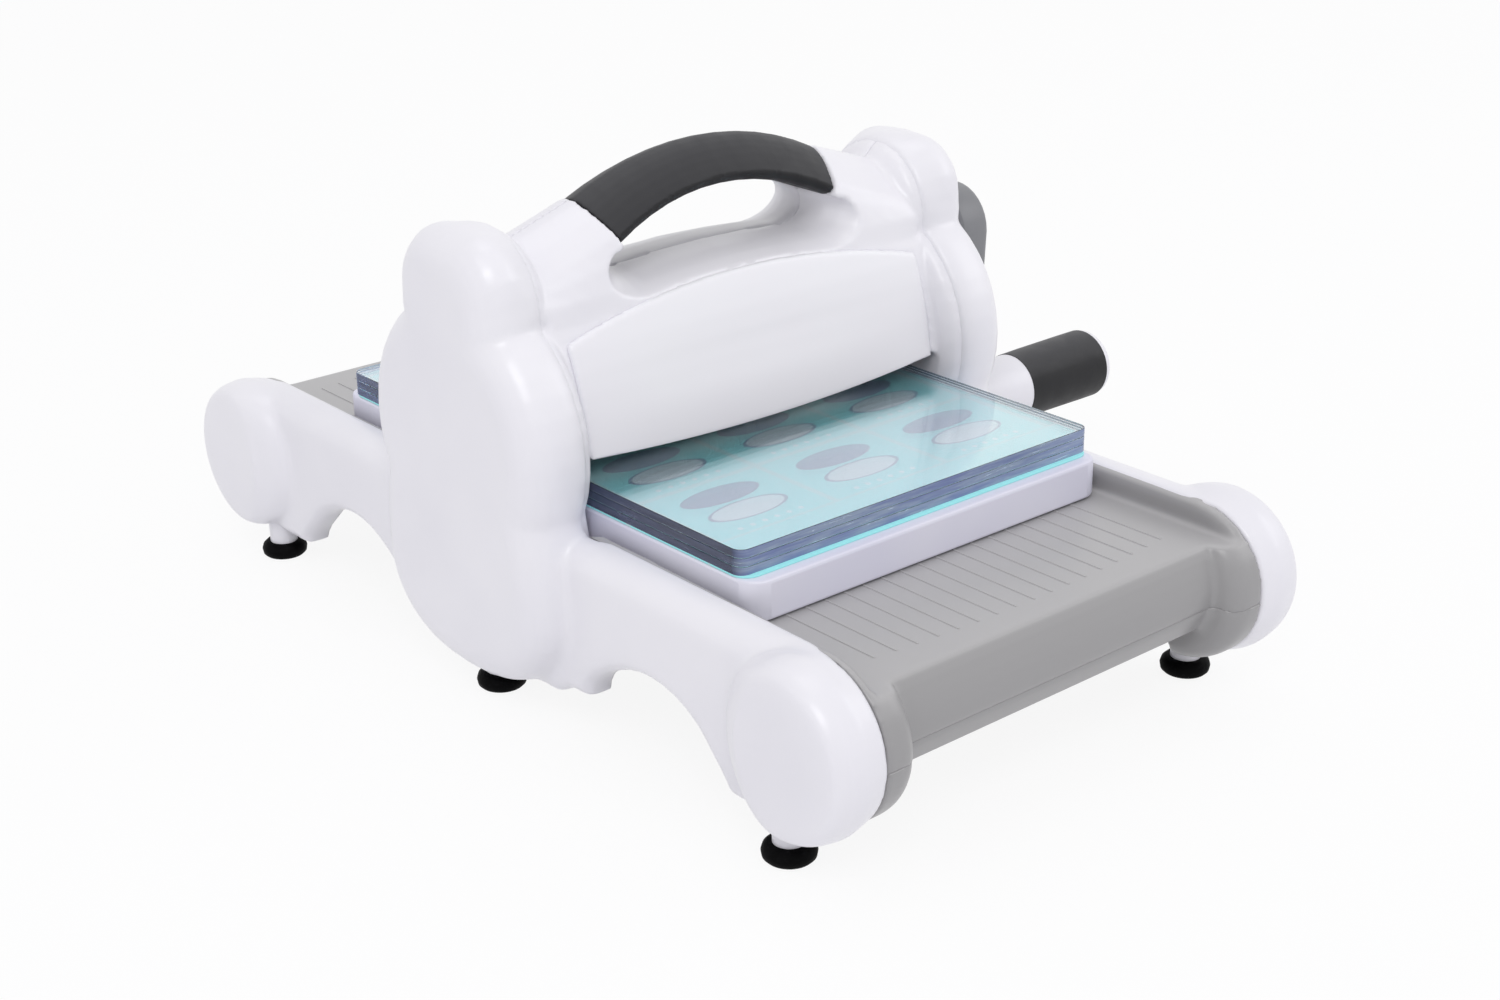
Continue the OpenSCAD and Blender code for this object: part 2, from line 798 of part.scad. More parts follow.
// Length of the rib at x; the ends of the ribs lie on an arc
function rib_end(x) = crease_y - 9.5 - 4.5 * pow(x / cheek_x, 2);

module tray_ribs() {
    count = floor(cheek_x / rib_pitch);
    for (i = [-count:count])
        translate([i * rib_pitch - 0.4, -rib_end(i * rib_pitch), tray_z - 0.5])
            cube([0.8, rib_end(i * rib_pitch) - tray_in - 4, 0.5 + rib_h]);
}

// Tray and base in one; the parting divides it
module tray_shape() {
    plate(-seam_x + 4, seam_x - 4)
        tray_section();
    both_x() {
        plate(rail_x, seam_x)
            rail_outline();
        cheek();
    }
}

module tray() {
    intersection() {
        tray_shape();
        translate([-seam_x, -crease_y - 30, parting_z])
            cube([2 * seam_x, crease_y + 30, leg_top - parting_z]);
    }
    tray_ribs();
}

module tray_front() {
    color(tray_grey)
        tray();
}

module tray_rear() {
    color(tray_grey)
        mirror([0, 1, 0])
            tray();
}

// Base under a tray: the lower lip and cheeks, and a floor under the rollers
module tray_base() {
    intersection() {
        tray_shape();
        translate([-seam_x, -crease_y - 30, 0])
            cube([2 * seam_x, crease_y + 30, parting_z]);
    }
    plate(-seam_x + 0.2, seam_x - 0.2)
        polygon([[-crease_y - 1, lip_base], [-low_w, lip_base], [-low_w + 8, well_z], [0, well_z],
            [0, well_z + tray_t], [-low_w + 9, well_z + tray_t], [-low_w + 1, lip_base + tray_t],
            [-crease_y + 1, lip_base + tray_t]]);
}

module tray_base_front() {
    color(tray_grey)
        tray_base();
}

module tray_base_rear() {
    color(tray_grey)
        mirror([0, 1, 0])
            tray_base();
}

// ------------------------------------------------------------ steel frame

module side_plate(side) {
    difference() {
        plate(plate_x, plate_out)
            difference() {
                hull() {
                    translate([0, crank_z])
                        circle(r = 17);
                    for (s = [-1, 1]) {
                        translate([s * shoulder_y, mid_z - 6])
                            circle(r = 8);
                        translate([s * 30, lower_z - 12])
                            circle(r = 8);
                    }
                }
                for (z = [lower_z, upper_z])
                    translate([0, z])
                        circle(d = journal_d + 2 * bush_t);
            }
        for (p = rod_places)
            rod(plate_x - 1, plate_out + 1, rod_screw_d / 2, p[0], p[1]);
        for (p = shell_screw_places)
            rod(plate_x - 1, plate_out + 1, shell_screw_head_r + head_gap, p[0], p[1]);
        if (side > 0) {
            rod(plate_x - 1, plate_out + 1, crank_shaft_d / 2 + shaft_gap, 0, crank_z);
            rod(plate_x - 1, plate_out + 1, stud_d / 2 - 1, stud_y, stud_z);
        }
    }
}

module side_plate_left() {
    color(steel)
        mirror([1, 0, 0])
            side_plate(-1);
}

module side_plate_right() {
    color(steel)
        side_plate(1);
}

module tie_rods() {
    color(steel)
        for (p = rod_places)
            rod(-plate_x, plate_x, rod_d / 2, p[0], p[1]);
}

// Screws through the side plates into the ends of the tie rods
module tie_rod_screws() {
    color(steel)
        both_x()
            for (p = rod_places)
                turned([[plate_x, 0], [plate_x, rod_screw_d / 2], [plate_out, rod_screw_d / 2],
                    [plate_out, rod_screw_d - 0.6], [plate_out + 1.1, rod_screw_d - 1.2],
                    [plate_out + 1.1, 0]], p[0], p[1]);
}

// Flanged bushes that carry the roller journals
module roller_bushes() {
    color([0.78, 0.6, 0.3])
        both_x()
            for (z = [lower_z, upper_z])
                turned([[plate_x - 2, journal_d / 2 + shaft_gap],
                    [plate_x - 2, journal_d / 2 + bush_t + 2.5],
                    [plate_x, journal_d / 2 + bush_t + 2.5],
                    [plate_x, journal_d / 2 + bush_t],
                    [plate_out, journal_d / 2 + bush_t],
                    [plate_out, journal_d / 2 + shaft_gap]], 0, z);
}

// ---------------------------------------------------------------- rollers

// A roller with its journals; they reach x_left and x_right
module roller(z, x_left, x_right) {
    turned([[x_left, 0], [x_left, journal_d / 2 - 0.8], [x_left + 0.8, journal_d / 2],
        [-roller_len / 2, journal_d / 2], [-roller_len / 2, roller_r - 0.8],
        [-roller_len / 2 + 0.8, roller_r], [roller_len / 2 - 0.8, roller_r],
        [roller_len / 2, roller_r - 0.8], [roller_len / 2, journal_d / 2],
        [x_right - 0.8, journal_d / 2], [x_right, journal_d / 2 - 0.8], [x_right, 0]], 0, z);
}

module lower_roller() {
    color(steel)
        roller(lower_z, -drive_x - gear_w - 1, drive_x + gear_w + 0.3);
}

module upper_roller() {
    color(steel)
        roller(upper_z, -drive_x - gear_w - 1, plate_out + 0.6);
}

// ------------------------------------------------------------------ gears

// Involute of the base circle rb at the radius r: its polar angle
function involute_a(rb, r) = let (t = sqrt(max(0, r * r / (rb * rb) - 1))) (t * 180 / PI) - atan(t);

// A spur gear about a line along X, with the middle of a tooth at angle turn
module gear(teeth, m, x, w, y, z, turn, bore) {
    pressure = 25;
    rp = m * teeth / 2;
    rb = rp * cos(pressure);
    ra = rp + 0.88 * m;
    rf = rp - 1.2 * m;
    half = 90 / teeth - 0.09 * 180 / (PI * rp) + involute_a(rb, rp);
    flank = [for (i = [0:3]) let (r = max(rb, rf) + (ra - max(rb, rf)) * i / 3) [r, half - involute_a(rb, r)]];
    step = 360 / teeth;
    difference() {
        plate(x, x + w)
            translate([y, z])
                polygon([for (k = [0:teeth - 1]) let (c = turn + k * step)
                    each concat(
                        [let (a = c - half - 0.6) [rf * cos(a), rf * sin(a)]],
                        [for (f = flank) let (a = c - f[1]) [f[0] * cos(a), f[0] * sin(a)]],
                        [for (i = [0:3]) let (f = flank[3 - i], a = c + f[1])
                            [f[0] * cos(a), f[0] * sin(a)]],
                        [let (a = c + half + 0.6) [rf * cos(a), rf * sin(a)]])]);
        rod(x - 1, x + w + 1, bore, y, z);
    }
}

module lower_roller_gear() {
    color(steel)
        gear(roller_teeth, roller_gear_m, -drive_x - gear_w, gear_w, 0, lower_z, 90, journal_d / 2);
}

module upper_roller_gear() {
    color(steel)
        gear(roller_teeth, roller_gear_m, -drive_x - gear_w, gear_w, 0, upper_z,
            270 + 180 / roller_teeth, journal_d / 2);
}

// Directions of the two meshes of the reduction gear
up_a = atan2(crank_z - stud_z, -stud_y);
down_a = atan2(stud_z - lower_z, stud_y);

module drive_gear() {
    color(steel)
        gear(drive_teeth, gear_m, drive_x, gear_w, 0, lower_z, down_a, journal_d / 2);
}

module reduction_gear() {
    color([0.85, 0.85, 0.8]) {
        gear(small_teeth, gear_m, drive_x, gear_w + 0.5, stud_y, stud_z,
            down_a + 180 + 180 / small_teeth, stud_d / 2 + shaft_gap);
        gear(reduction_teeth, gear_m, reduction_x, gear_w, stud_y, stud_z, up_a,
            stud_d / 2 + shaft_gap);
    }
}

// Stud of the reduction gear, riveted into the right side plate
module gear_stud() {
    color(steel)
        turned([[plate_x, 0], [plate_x, stud_d / 2 - 1], [plate_out, stud_d / 2 - 1],
            [plate_out, stud_d / 2 + 2], [drive_x - 0.3, stud_d / 2 + 2], [drive_x - 0.3, stud_d / 2],
            [reduction_x + gear_w + 0.4, stud_d / 2], [reduction_x + gear_w + 0.4, stud_d / 2 + 1.5],
            [reduction_x + gear_w + 1.2, stud_d / 2 + 1.5], [reduction_x + gear_w + 1.2, 0]],
            stud_y, stud_z);
}

module crank_pinion() {
    color(steel)
        gear(pinion_teeth, gear_m, reduction_x, gear_w, 0, crank_z,
            up_a + 180 + 180 / pinion_teeth, crank_shaft_d / 2);
}

// ------------------------------------------------------------------ crank

// Flanged bush of the crank shaft in the wall of the right shell
module crank_bush() {
    color([0.2, 0.2, 0.21])
        turned([[shell_x - shell_t - 1, crank_shaft_d / 2 + shaft_gap],
            [shell_x - shell_t - 1, crank_shaft_d / 2 + 3], [shell_x, crank_shaft_d / 2 + 3],
            [shell_x, crank_shaft_d / 2 + 6], [shell_x + 1.8, crank_shaft_d / 2 + 5],
            [shell_x + 1.8, crank_shaft_d / 2 + shaft_gap]], 0, crank_z);
}

module crank_shaft() {
    color(steel)
        turned([[plate_x, 0], [plate_x, crank_shaft_d / 2 - 0.5], [plate_x + 0.5, crank_shaft_d / 2],
            [arm_x - 4, crank_shaft_d / 2], [arm_x - 4, 0]], 0, crank_z);
}

// Rounded disc that an end of the crank arm is made of
module arm_disc(r, z) {
    turned([[arm_x - arm_t, 0], [arm_x - arm_t, r - 1.5], [arm_x - arm_t + 1.5, r],
        [arm_x - 3, r], [arm_x - 0.9, r - 0.9], [arm_x, r - 3], [arm_x, 0]], 0, z, $fn = 32);
}

module crank_arm() {
    color(arm_grey)
        difference() {
            union() {
                hull() {
                    arm_disc(hub_r, crank_z);
                    arm_disc(arm_end_r, knob_z);
                }
                rod(shell_x + 2.1, arm_x - arm_t + 1, hub_r - 5, 0, crank_z);
            }
            rod(shell_x, arm_x - 4, crank_shaft_d / 2, 0, crank_z);
            rod(arm_x - 5, arm_x + 1, crank_shaft_d / 2 + 1, 0, crank_z);
            rod(arm_x - arm_t + 4, arm_x + 1, spindle_d / 2, 0, knob_z);
        }
}

// Screw with a wide head that holds the arm on the crank shaft
module hub_screw() {
    color(steel)
        difference() {
            turned([[arm_x - 4, 0], [arm_x - 4, crank_shaft_d / 2 + 1],
                [arm_x - 0.6, crank_shaft_d / 2 + 1], [arm_x + 0.2, crank_shaft_d / 2 + 0.2],
                [arm_x + 0.2, 0]], 0, crank_z);
            rod(arm_x - 2, arm_x + 1, 2.6, 0, crank_z, $fn = 6);
        }
}

module knob_spindle() {
    color(steel)
        turned([[arm_x - arm_t + 4, 0], [arm_x - arm_t + 4, spindle_d / 2],
            [knob_end_x - 9, spindle_d / 2], [knob_end_x - 9, spindle_d / 2 + 2.5],
            [knob_end_x - 7.5, spindle_d / 2 + 2.5], [knob_end_x - 7.5, 0]], 0, knob_z);
}

// White inner part of the knob, which widens towards the grip
module knob_collar() {
    color(shell_white)
        turned(concat(
            [[arm_x + 0.8, spindle_d / 2 + shaft_gap], [arm_x + 0.8, knob_r - 4.5],
                [arm_x + 2.2, knob_r - 3]],
            [for (i = [0:6]) let (k = i / 6)
                [arm_x + 4 + (collar_x - arm_x - 4) * k, knob_r - 2.7 + 2.1 * sin(90 * k)]],
            [[collar_x, spindle_d / 2 + shaft_gap]]), 0, knob_z, $fn = 64);
}

module knob_grip() {
    color(charcoal)
        turned([[collar_x, spindle_d / 2 + shaft_gap], [collar_x, knob_r - 0.4],
            [collar_x + 10, knob_r - 0.2], [knob_end_x - 12, knob_r], [knob_end_x - 4.5, knob_r],
            [knob_end_x - 4.5, spindle_d / 2 + 3], [knob_end_x - 9.1, spindle_d / 2 + 3],
            [knob_end_x - 9.1, spindle_d / 2 + shaft_gap]], 0, knob_z, $fn = 64);
}

module knob_cap() {
    color(shell_white)
        turned(concat(
            [[knob_end_x - 6.8, 0], [knob_end_x - 6.8, spindle_d / 2 + 3],
                [knob_end_x - 4.5, spindle_d / 2 + 3], [knob_end_x - 4.5, knob_r - 0.2]],
            [for (i = [0:4]) let (a = 90 * i / 4)
                [knob_end_x - 1 - 2.4 * (1 - sin(a)), knob_r - 0.3 - 2.4 * (1 - cos(a))]],
            [[knob_end_x, 0]]), 0, knob_z, $fn = 64);
}

// ------------------------------------------------------------------- feet

module at_feet() {
    both_x()
        for (y = [-foot_y, 0, foot_y])
            translate([foot_x, y, 0])
                children();
}

module foot_stems() {
    color(shell_white)
        both_x()
            for (y = [-foot_y, 0, foot_y])
                translate([foot_x, y, 0])
                    difference() {
                        translate([0, 0, foot_h])
                            cylinder(h = foot_end(y) - foot_h, r = stem_d / 2);
                        translate([0, 0, foot_h - 1])
                            cylinder(h = 5.5, r = 1.6);
                    }
}

module foot_pads() {
    color(rubber_black)
        at_feet()
            rotate_extrude()
                polygon([[1.6, 1.2], [3.4, 1.2], [3.4, 0], [foot_d / 2 - 1.2, 0],
                    [foot_d / 2 - 0.3, 0.9], [foot_d / 2, 2.6], [foot_d / 2 - 0.5, foot_h - 1.4],
                    [foot_d / 2 - 2, foot_h], [1.6, foot_h]]);
}

// Screws that hold the rubber feet to the stems
module foot_screws() {
    color(steel)
        at_feet()
            rotate_extrude()
                polygon([[0, 0.4], [3, 0.4], [3.2, 1.2], [1.6, 1.2], [1.6, foot_h + 4], [0, foot_h + 4.4]]);
}

// Screws that draw the side shells to the housing
module shell_screws() {
    color(steel)
        both_x()
            for (p = shell_screw_places)
                turned([[seam_x - 4, 0], [seam_x - 4, 1.5], [seam_x + 1.5, 1.5],
                    [seam_x + 1.5, shell_screw_head_r], [seam_x + 3, shell_screw_head_r - 0.6],
                    [seam_x + 3, 0]], p[0], p[1]);
}

// ------------------------------------------------------------------ stack

module sheet_outline(w, l) {
    offset(r = stack_corner)
        square([w - 2 * stack_corner, l - 2 * stack_corner], center = true);
}

module layer(w, l, z, t) {
    translate([0, stack_y, z])
        linear_extrude(height = t)
            sheet_outline(w, l);
}

module platform() {
    color([0.9, 0.9, 0.96])
        layer(platform_w, platform_len, platform_z, platform_t);
}

module printed_sheet() {
    color([0.55, 0.8, 0.79])
        layer(platform_w - 0.6, pad_len + 3, sheet_z, sheet_t);
}

module lower_pad() {
    color([0.8, 0.88, 0.95, 0.5])
        layer(platform_w, pad_len, lower_pad_z, pad_t);
}

module middle_pad() {
    color([0.8, 0.88, 0.95, 0.5])
        layer(platform_w, pad_len, middle_pad_z, pad_t);
}

module upper_pad() {
    color([0.8, 0.88, 0.95, 0.5])
        layer(platform_w, pad_len, upper_pad_z, pad_t);
}

side_shell_left();
side_shell_right();
housing_front();
housing_rear();
panel_front();
panel_rear();
handle_grip();
handle_core();
tray_front();
tray_rear();
tray_base_front();
tray_base_rear();
side_plate_left();
side_plate_right();
tie_rods();
tie_rod_screws();
roller_bushes();
lower_roller();
upper_roller();
lower_roller_gear();
upper_roller_gear();
drive_gear();
gear_stud();
reduction_gear();
crank_bush();
crank_shaft();
crank_pinion();
crank_arm();
hub_screw();
knob_spindle();
knob_collar();
knob_grip();
knob_cap();
foot_stems();
foot_pads();
foot_screws();
shell_screws();
platform();
printed_sheet();
lower_pad();
middle_pad();
upper_pad();
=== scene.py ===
"""Dressed model of a manual die cutting machine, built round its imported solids."""

import json
import math

import bmesh
import bpy
import numpy as np
from mathutils import Matrix, Vector


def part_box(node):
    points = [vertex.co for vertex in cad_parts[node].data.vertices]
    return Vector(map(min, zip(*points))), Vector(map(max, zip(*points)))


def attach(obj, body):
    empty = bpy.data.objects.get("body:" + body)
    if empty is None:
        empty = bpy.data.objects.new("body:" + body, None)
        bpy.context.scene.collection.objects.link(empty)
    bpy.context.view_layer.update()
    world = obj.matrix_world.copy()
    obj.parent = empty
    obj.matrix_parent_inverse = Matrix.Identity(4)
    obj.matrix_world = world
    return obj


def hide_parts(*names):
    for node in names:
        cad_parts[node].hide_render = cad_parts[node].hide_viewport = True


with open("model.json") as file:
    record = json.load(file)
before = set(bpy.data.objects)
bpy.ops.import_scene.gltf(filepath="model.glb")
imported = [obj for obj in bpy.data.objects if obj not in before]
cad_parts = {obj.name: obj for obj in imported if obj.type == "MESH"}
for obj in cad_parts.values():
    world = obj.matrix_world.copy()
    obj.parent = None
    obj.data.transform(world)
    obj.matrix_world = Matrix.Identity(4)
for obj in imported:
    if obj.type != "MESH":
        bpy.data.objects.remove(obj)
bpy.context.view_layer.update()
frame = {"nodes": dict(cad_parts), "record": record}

bl_info = {
    "name": "Die cutting machine",
    "version": (1, 0, 0),
    "blender": (4, 5, 0),
    "location": "View3D > Sidebar > Die machine",
    "description": "Builds a dressed manual die cutting machine round its packed solids",
    "category": "Add Mesh",
}

MM = 0.001
MATERIALS = {}

# Camera: fitted angles in degrees, distance and target in millimetres, lens and sensor in millimetres,
# and the near limit of its view in metres
VIEW_AZIMUTH = -40.03
VIEW_ELEVATION = 22.69
VIEW_ROLL = -0.91
VIEW_DISTANCE = 755.65
VIEW_TARGET = (-14.17, -42.87, 60.0)
VIEW_LENS = 53.07
VIEW_SENSOR = 36
VIEW_NEAR = 0.01

# Lamps: name, place and size in metres, power in watts
LAMPS = (
    ("key", (-0.9, -1.0, 1.5), 0.8, 7.9),
    ("fill", (1.3, -0.8, 0.9), 1.0, 2.9),
    ("top", (0.2, 0.2, 1.9), 0.9, 2.2),
)
LAMP_TARGET = (0, 0, 0.06)

# Room: tint and strength of its light on the machine
ROOM_TINT = (0.985, 0.98, 1.0, 1)
ROOM_LIGHT = 0.71

# Floor: size in metres, tone, and how much of its own shade the camera doesn't see
FLOOR_SIZE = 8
FLOOR_TONE = "#f4f4f6"
FLOOR_GLOW = 0.9
WHITE = (1, 1, 1, 1)

# Plane where the side shells meet the housing and the trays, in millimetres, as are all sizes below
SEAM_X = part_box("housing_front")[1][0] / MM

# A stretch says where a change starts, where it is full, where it stops being full and where it ends.
# Legs: lift of the toe before the arch, its stretch along the leg, and the heights over which it fades
TOE_LIFT = 4.6
TOE_STRETCH = (36, 48, 64, 74)
TOE_FADE = (12, 34)

# Legs: spread of the heel behind the arch
HEEL_SPREAD = 4.5
HEEL_STRETCH = (108, 119, 123, 145)
HEEL_FADE = (12, 26)

# Legs: lap over the rails of a tray, its stretch, the heights over which it grows and its depth
RAIL_LAP = 2.2
LAP_STRETCH = (50, 56, 150, 164)
LAP_RISE = (44, 56)
LAP_DEPTH = (1, 9)

# Lobes at the ends of the legs: place of their axis, radius, and how much their rims are squared,
# over which ring of their radius and over which depth from the seam
LOBE_Y = 158.0
LOBE_Z = 41.0
LOBE_R = 29.0
RIM_SHARE = 0.5
RIM_RING = (0.55, 0.8)
RIM_DEPTH = (10, 16)

# Top lobes: height of their axis, radius, and how much they are squared at the shoulders, at what
# angles from the top, over which ring of their radius and over which depth from the seam
TOP_LOBE_Z = 136.0
TOP_LOBE_R = 27.6
SHOULDER_SHARE = 0.09
SHOULDER_TURN = (6, 36, 52, 84)
SHOULDER_RING = (0.3, 0.8)
SHOULDER_DEPTH = (2, 12)

# Panels: half width, lower edge, how far its middle is bowed out and down, over what height, and the
# outward turn of the surface from which it counts as the face
PANEL_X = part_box("panel_front")[1][0] / MM
PANEL_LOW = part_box("panel_front")[0][2] / MM
BOW_OUT = 3.0
BOW_OUT_HEIGHT = 26
BOW_DOWN = 2.5
BOW_DOWN_HEIGHT = 12
FACE_TURN = (-0.2, 0.5)

# Reach of the housing's ends into the necks of the shells, reach and top of a tray's base that goes up
# into the tray, and how deep the end of any piece is taken to be
NECK_REACH = 0.9
BASE_REACH = 0.8
BASE_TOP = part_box("tray_base_front")[1][2] / MM
END_DEPTH = 1.5

# Trays: height of the flat top and how far above it a point counts as on a rib or rail, inner face of the
# rails and how near to it an edge counts as on it, round of their upper edge, and the half width in which
# the ribs of the solid lie
TRAY_TOP = 59.6
ABOVE_TRAY = 0.05
RAIL_X = 80.2
BESIDE_RAIL = 0.02
RAIL_EDGE = 3.2
CAD_RIBS_X = 70.0

# Ribs of the trays: width, depth, rise above the tray, round of their edges, spacing, number beside the
# middle one, start and reach from the middle of the machine, and how much shorter one is beside a rail
RIB_WIDTH = 0.9
RIB_DEPTH = 0.5
RIB_RISE = 0.3
RIB_EDGE = 0.3
RIB_PITCH = 8.0
RIBS_BESIDE = 8
RIB_START = 16.0
RIB_REACH = 161.5
RIB_ARC = 5.9

# Creases: how often they are blended, how often hollowness is averaged, from what share of the mesh size
# they count, how fast that grows, how much is left from one ring of the mesh to the next, for how many
# rings, and how many steps of weight are told apart
CREASE_PASSES = 2
CREASE_CALM = 4
CREASE_START = 0.03
CREASE_GAIN = 25
CREASE_FADE = 0.96
CREASE_RINGS = 10
CREASE_STEPS = 10

# Tones: values of a drifting pattern over which one tone turns to the other, and how far up a face is
# turned where the painted top light starts and stops making it pale
DRIFT_SPAN = (0.35, 0.65)
PAINTED_LIGHT_TURN = (0.45, 0.98)

# Works that keep their solids: finish and nodes
WORKS = {
    "turned_steel": (
        "lower_roller",
        "upper_roller",
        "tie_rods",
        "handle_core",
        "crank_shaft",
        "knob_spindle",
    ),
    "zinc_plated_steel": (
        "side_plate_left",
        "side_plate_right",
        "tie_rod_screws",
        "shell_screws",
        "foot_screws",
        "gear_stud",
        "hub_screw",
        "lower_roller_gear",
        "upper_roller_gear",
        "drive_gear",
        "crank_pinion",
    ),
    "natural_nylon": ("reduction_gear",),
    "sintered_bronze": ("roller_bushes",),
    "black_acetal": ("crank_bush",),
}

# Plates of the stack: node, slot, finishes, corner, eased edge, and gap above and below
STACK = (
    ("platform", "platform_white", ("white_platform_abs",), 7.0, 1.0, 0.0),
    ("printed_sheet", "print_teal", ("printed_card",), 6.0, 0.1, 0.04),
    ("lower_pad", "clear_pad", ("clear_acrylic", "clear_acrylic_edge"), 4.0, 0.3, 0.05),
    ("middle_pad", "clear_pad", ("clear_acrylic", "clear_acrylic_edge"), 4.0, 0.3, 0.05),
    ("upper_pad", "clear_pad", ("clear_acrylic", "clear_acrylic_edge"), 4.0, 0.3, 0.05),
)

# Faces of a plate: area in square metres from which one is shaded flat, how far up or down one is turned
# from which it counts as level, and under which it counts as the rim
LARGE_FACE = 150 * MM * MM
LEVEL_TURN = 0.99
RIM_TURN = 0.6

# Print of the card: fields across and along, plain margins, the line round a field with how far it covers
# the ground, the ovals with their outline, cover, and the heights and tones of their middles, and the row
# of dots at the foot of a field
CARD_FIELDS = (3, 5)
CARD_SIDE = 4.0
CARD_FOOT = 16.0
CARD_HEAD = 4.0
FIELD_LINE = 1.2
FIELD_LINE_COVER = 0.8
OVAL_HALF = (15.0, 6.0, 1.0)
OVAL_LINE = 0.05
OVAL_COVER = 0.85
OVALS = ((9.0, "#8f97b8"), (-5.0, "#e4edf1"))
DOT_ROW_Y = -16.0
DOT_ROW_HALF = 14.0
DOT_PITCH = 5.0
DOT_R = 0.6
DOT_LINE = 0.6
DOT_TONE = "#f2fafa"

# A distance in millimetres that is past all of the card, for axes on which nothing is wrapped
FAR = 1000.0


# ---------------------------------------------------------------- colours and nodes


def linear(hex_colour):
    """Turns an sRGB hex colour into the linear RGBA that Blender's sockets take."""
    parts = [int(hex_colour.lstrip("#")[i : i + 2], 16) / 255 for i in (0, 2, 4)]
    return tuple(c / 12.92 if c <= 0.04045 else ((c + 0.055) / 1.055) ** 2.4 for c in parts) + (1.0,)


def feed(tree, node, inputs):
    """Gives each named input of a node its value, or the wire from another node's output."""
    for name, value in inputs.items():
        if isinstance(value, bpy.types.NodeSocket):
            tree.links.new(value, node.inputs[name])
        else:
            node.inputs[name].default_value = value


def add_node(tree, kind, inputs=None, **settings):
    """Adds a node with its settings, and feeds its inputs."""
    node = tree.nodes.new(kind)
    for name, value in settings.items():
        setattr(node, name, value)
    feed(tree, node, inputs or {})
    return node


def new_material(name):
    """An empty node material; gives its tree, its shader and its object coordinates."""
    material = bpy.data.materials.new(name)
    material.use_nodes = True
    tree = material.node_tree
    tree.nodes.clear()
    shader = add_node(tree, "ShaderNodeBsdfPrincipled")
    add_node(tree, "ShaderNodeOutputMaterial", {"Surface": shader.outputs["BSDF"]})
    MATERIALS[name] = material
    return tree, shader, add_node(tree, "ShaderNodeTexCoord").outputs["Object"]


def grain(tree, where, size_mm, detail=3.0, roughness=0.5, stretch=(1, 1, 1)):
    """Uneven pattern with cells about size_mm across, drawn out along each axis by its stretch."""
    scale = tuple(1 / (size_mm * MM * s) for s in stretch)
    mapping = add_node(tree, "ShaderNodeMapping", {"Vector": where, "Scale": scale})
    pattern = {"Vector": mapping.outputs[0], "Scale": 1.0, "Detail": detail, "Roughness": roughness}
    return add_node(tree, "ShaderNodeTexNoise", pattern).outputs["Fac"]


def tone_over(tree, value, start, end, deep, pale):
    """Colour that turns from deep to pale as value goes from start to end."""
    span = {"Value": value, "From Min": start, "From Max": end}
    share = add_node(tree, "ShaderNodeMapRange", span).outputs["Result"]
    tones = {"Factor": share, "A": deep, "B": pale}
    return add_node(tree, "ShaderNodeMix", tones, data_type="RGBA").outputs["Result"]


def polish_over(tree, shader, value, low, high, start=0.3, end=0.7):
    """Takes the roughness of a shader from low to high as value goes from start to end."""
    span = {"Value": value, "From Min": start, "From Max": end, "To Min": low, "To Max": high}
    feed(tree, shader, {"Roughness": add_node(tree, "ShaderNodeMapRange", span).outputs["Result"]})


def drift_tone(tree, where, size_mm, deep, pale, detail=2):
    """Colour that wanders slowly between two sRGB tones."""
    drift = grain(tree, where, size_mm, detail=detail)
    return tone_over(tree, drift, *DRIFT_SPAN, linear(deep), linear(pale))


def painted_top_light_tone(tree, deep, pale):
    """Colour with painted light: deep on the sides and pale on faces that look up, as if lit from above."""
    normal = add_node(tree, "ShaderNodeTexCoord").outputs["Normal"]
    up = add_node(tree, "ShaderNodeSeparateXYZ", {"Vector": normal}).outputs["Z"]
    return tone_over(tree, up, *PAINTED_LIGHT_TURN, linear(deep), linear(pale))


def relief(tree, shader, height, depth_mm, edge_mm=0.0):
    """Raises a shader's surface by depth_mm times height, on edges that are softened over edge_mm."""
    bump = add_node(tree, "ShaderNodeBump", {"Height": height, "Strength": 1.0, "Distance": depth_mm * MM})
    if edge_mm:
        edge = add_node(tree, "ShaderNodeBevel", {"Radius": edge_mm * MM}, samples=4)
        feed(tree, bump, {"Normal": edge.outputs["Normal"]})
    feed(tree, shader, {"Normal": bump.outputs["Normal"]})


def let_light_through(tree, shader, tint):
    """Lets shadow and diffuse rays pass straight through a clear shader, tinted a little."""
    path = add_node(tree, "ShaderNodeLightPath").outputs
    rays = {0: path["Is Shadow Ray"], 1: path["Is Diffuse Ray"]}
    straight = add_node(tree, "ShaderNodeMath", rays, operation="MAXIMUM")
    open_air = add_node(tree, "ShaderNodeBsdfTransparent", {"Color": linear(tint)})
    mix = {0: straight.outputs[0], 1: shader.outputs[0], 2: open_air.outputs[0]}
    output = next(n for n in tree.nodes if n.type == "OUTPUT_MATERIAL")
    feed(tree, output, {"Surface": add_node(tree, "ShaderNodeMixShader", mix).outputs[0]})


# ------------------------------------------------------------------------ materials


def moulded_plastic(name, pale, deep, roughness, grain_depth_mm=0.0, edge_mm=0.0, with_painted_top_light=False):
    """Injection moulded plastic: an even satin skin whose colour drifts slowly, and a faint grain on some; on
    some the colour is painted light instead, pale on faces that look up and deep on the sides.
    """
    tree, shader, where = new_material(name)
    # Painted light for the trays: pale tops and deep sides, in place of the slow drift
    colour = painted_top_light_tone(tree, deep, pale) if with_painted_top_light else drift_tone(tree, where, 60, deep, pale)
    feed(tree, shader, {"Base Color": colour, "IOR": 1.53})
    polish_over(tree, shader, grain(tree, where, 14), roughness - 0.01, roughness + 0.02)
    # A mould's grain is about 0.1 mm across, which is too fine to show, so it is drawn at 0.8 mm
    if grain_depth_mm:
        relief(tree, shader, grain(tree, where, 0.8, detail=2), grain_depth_mm, edge_mm)


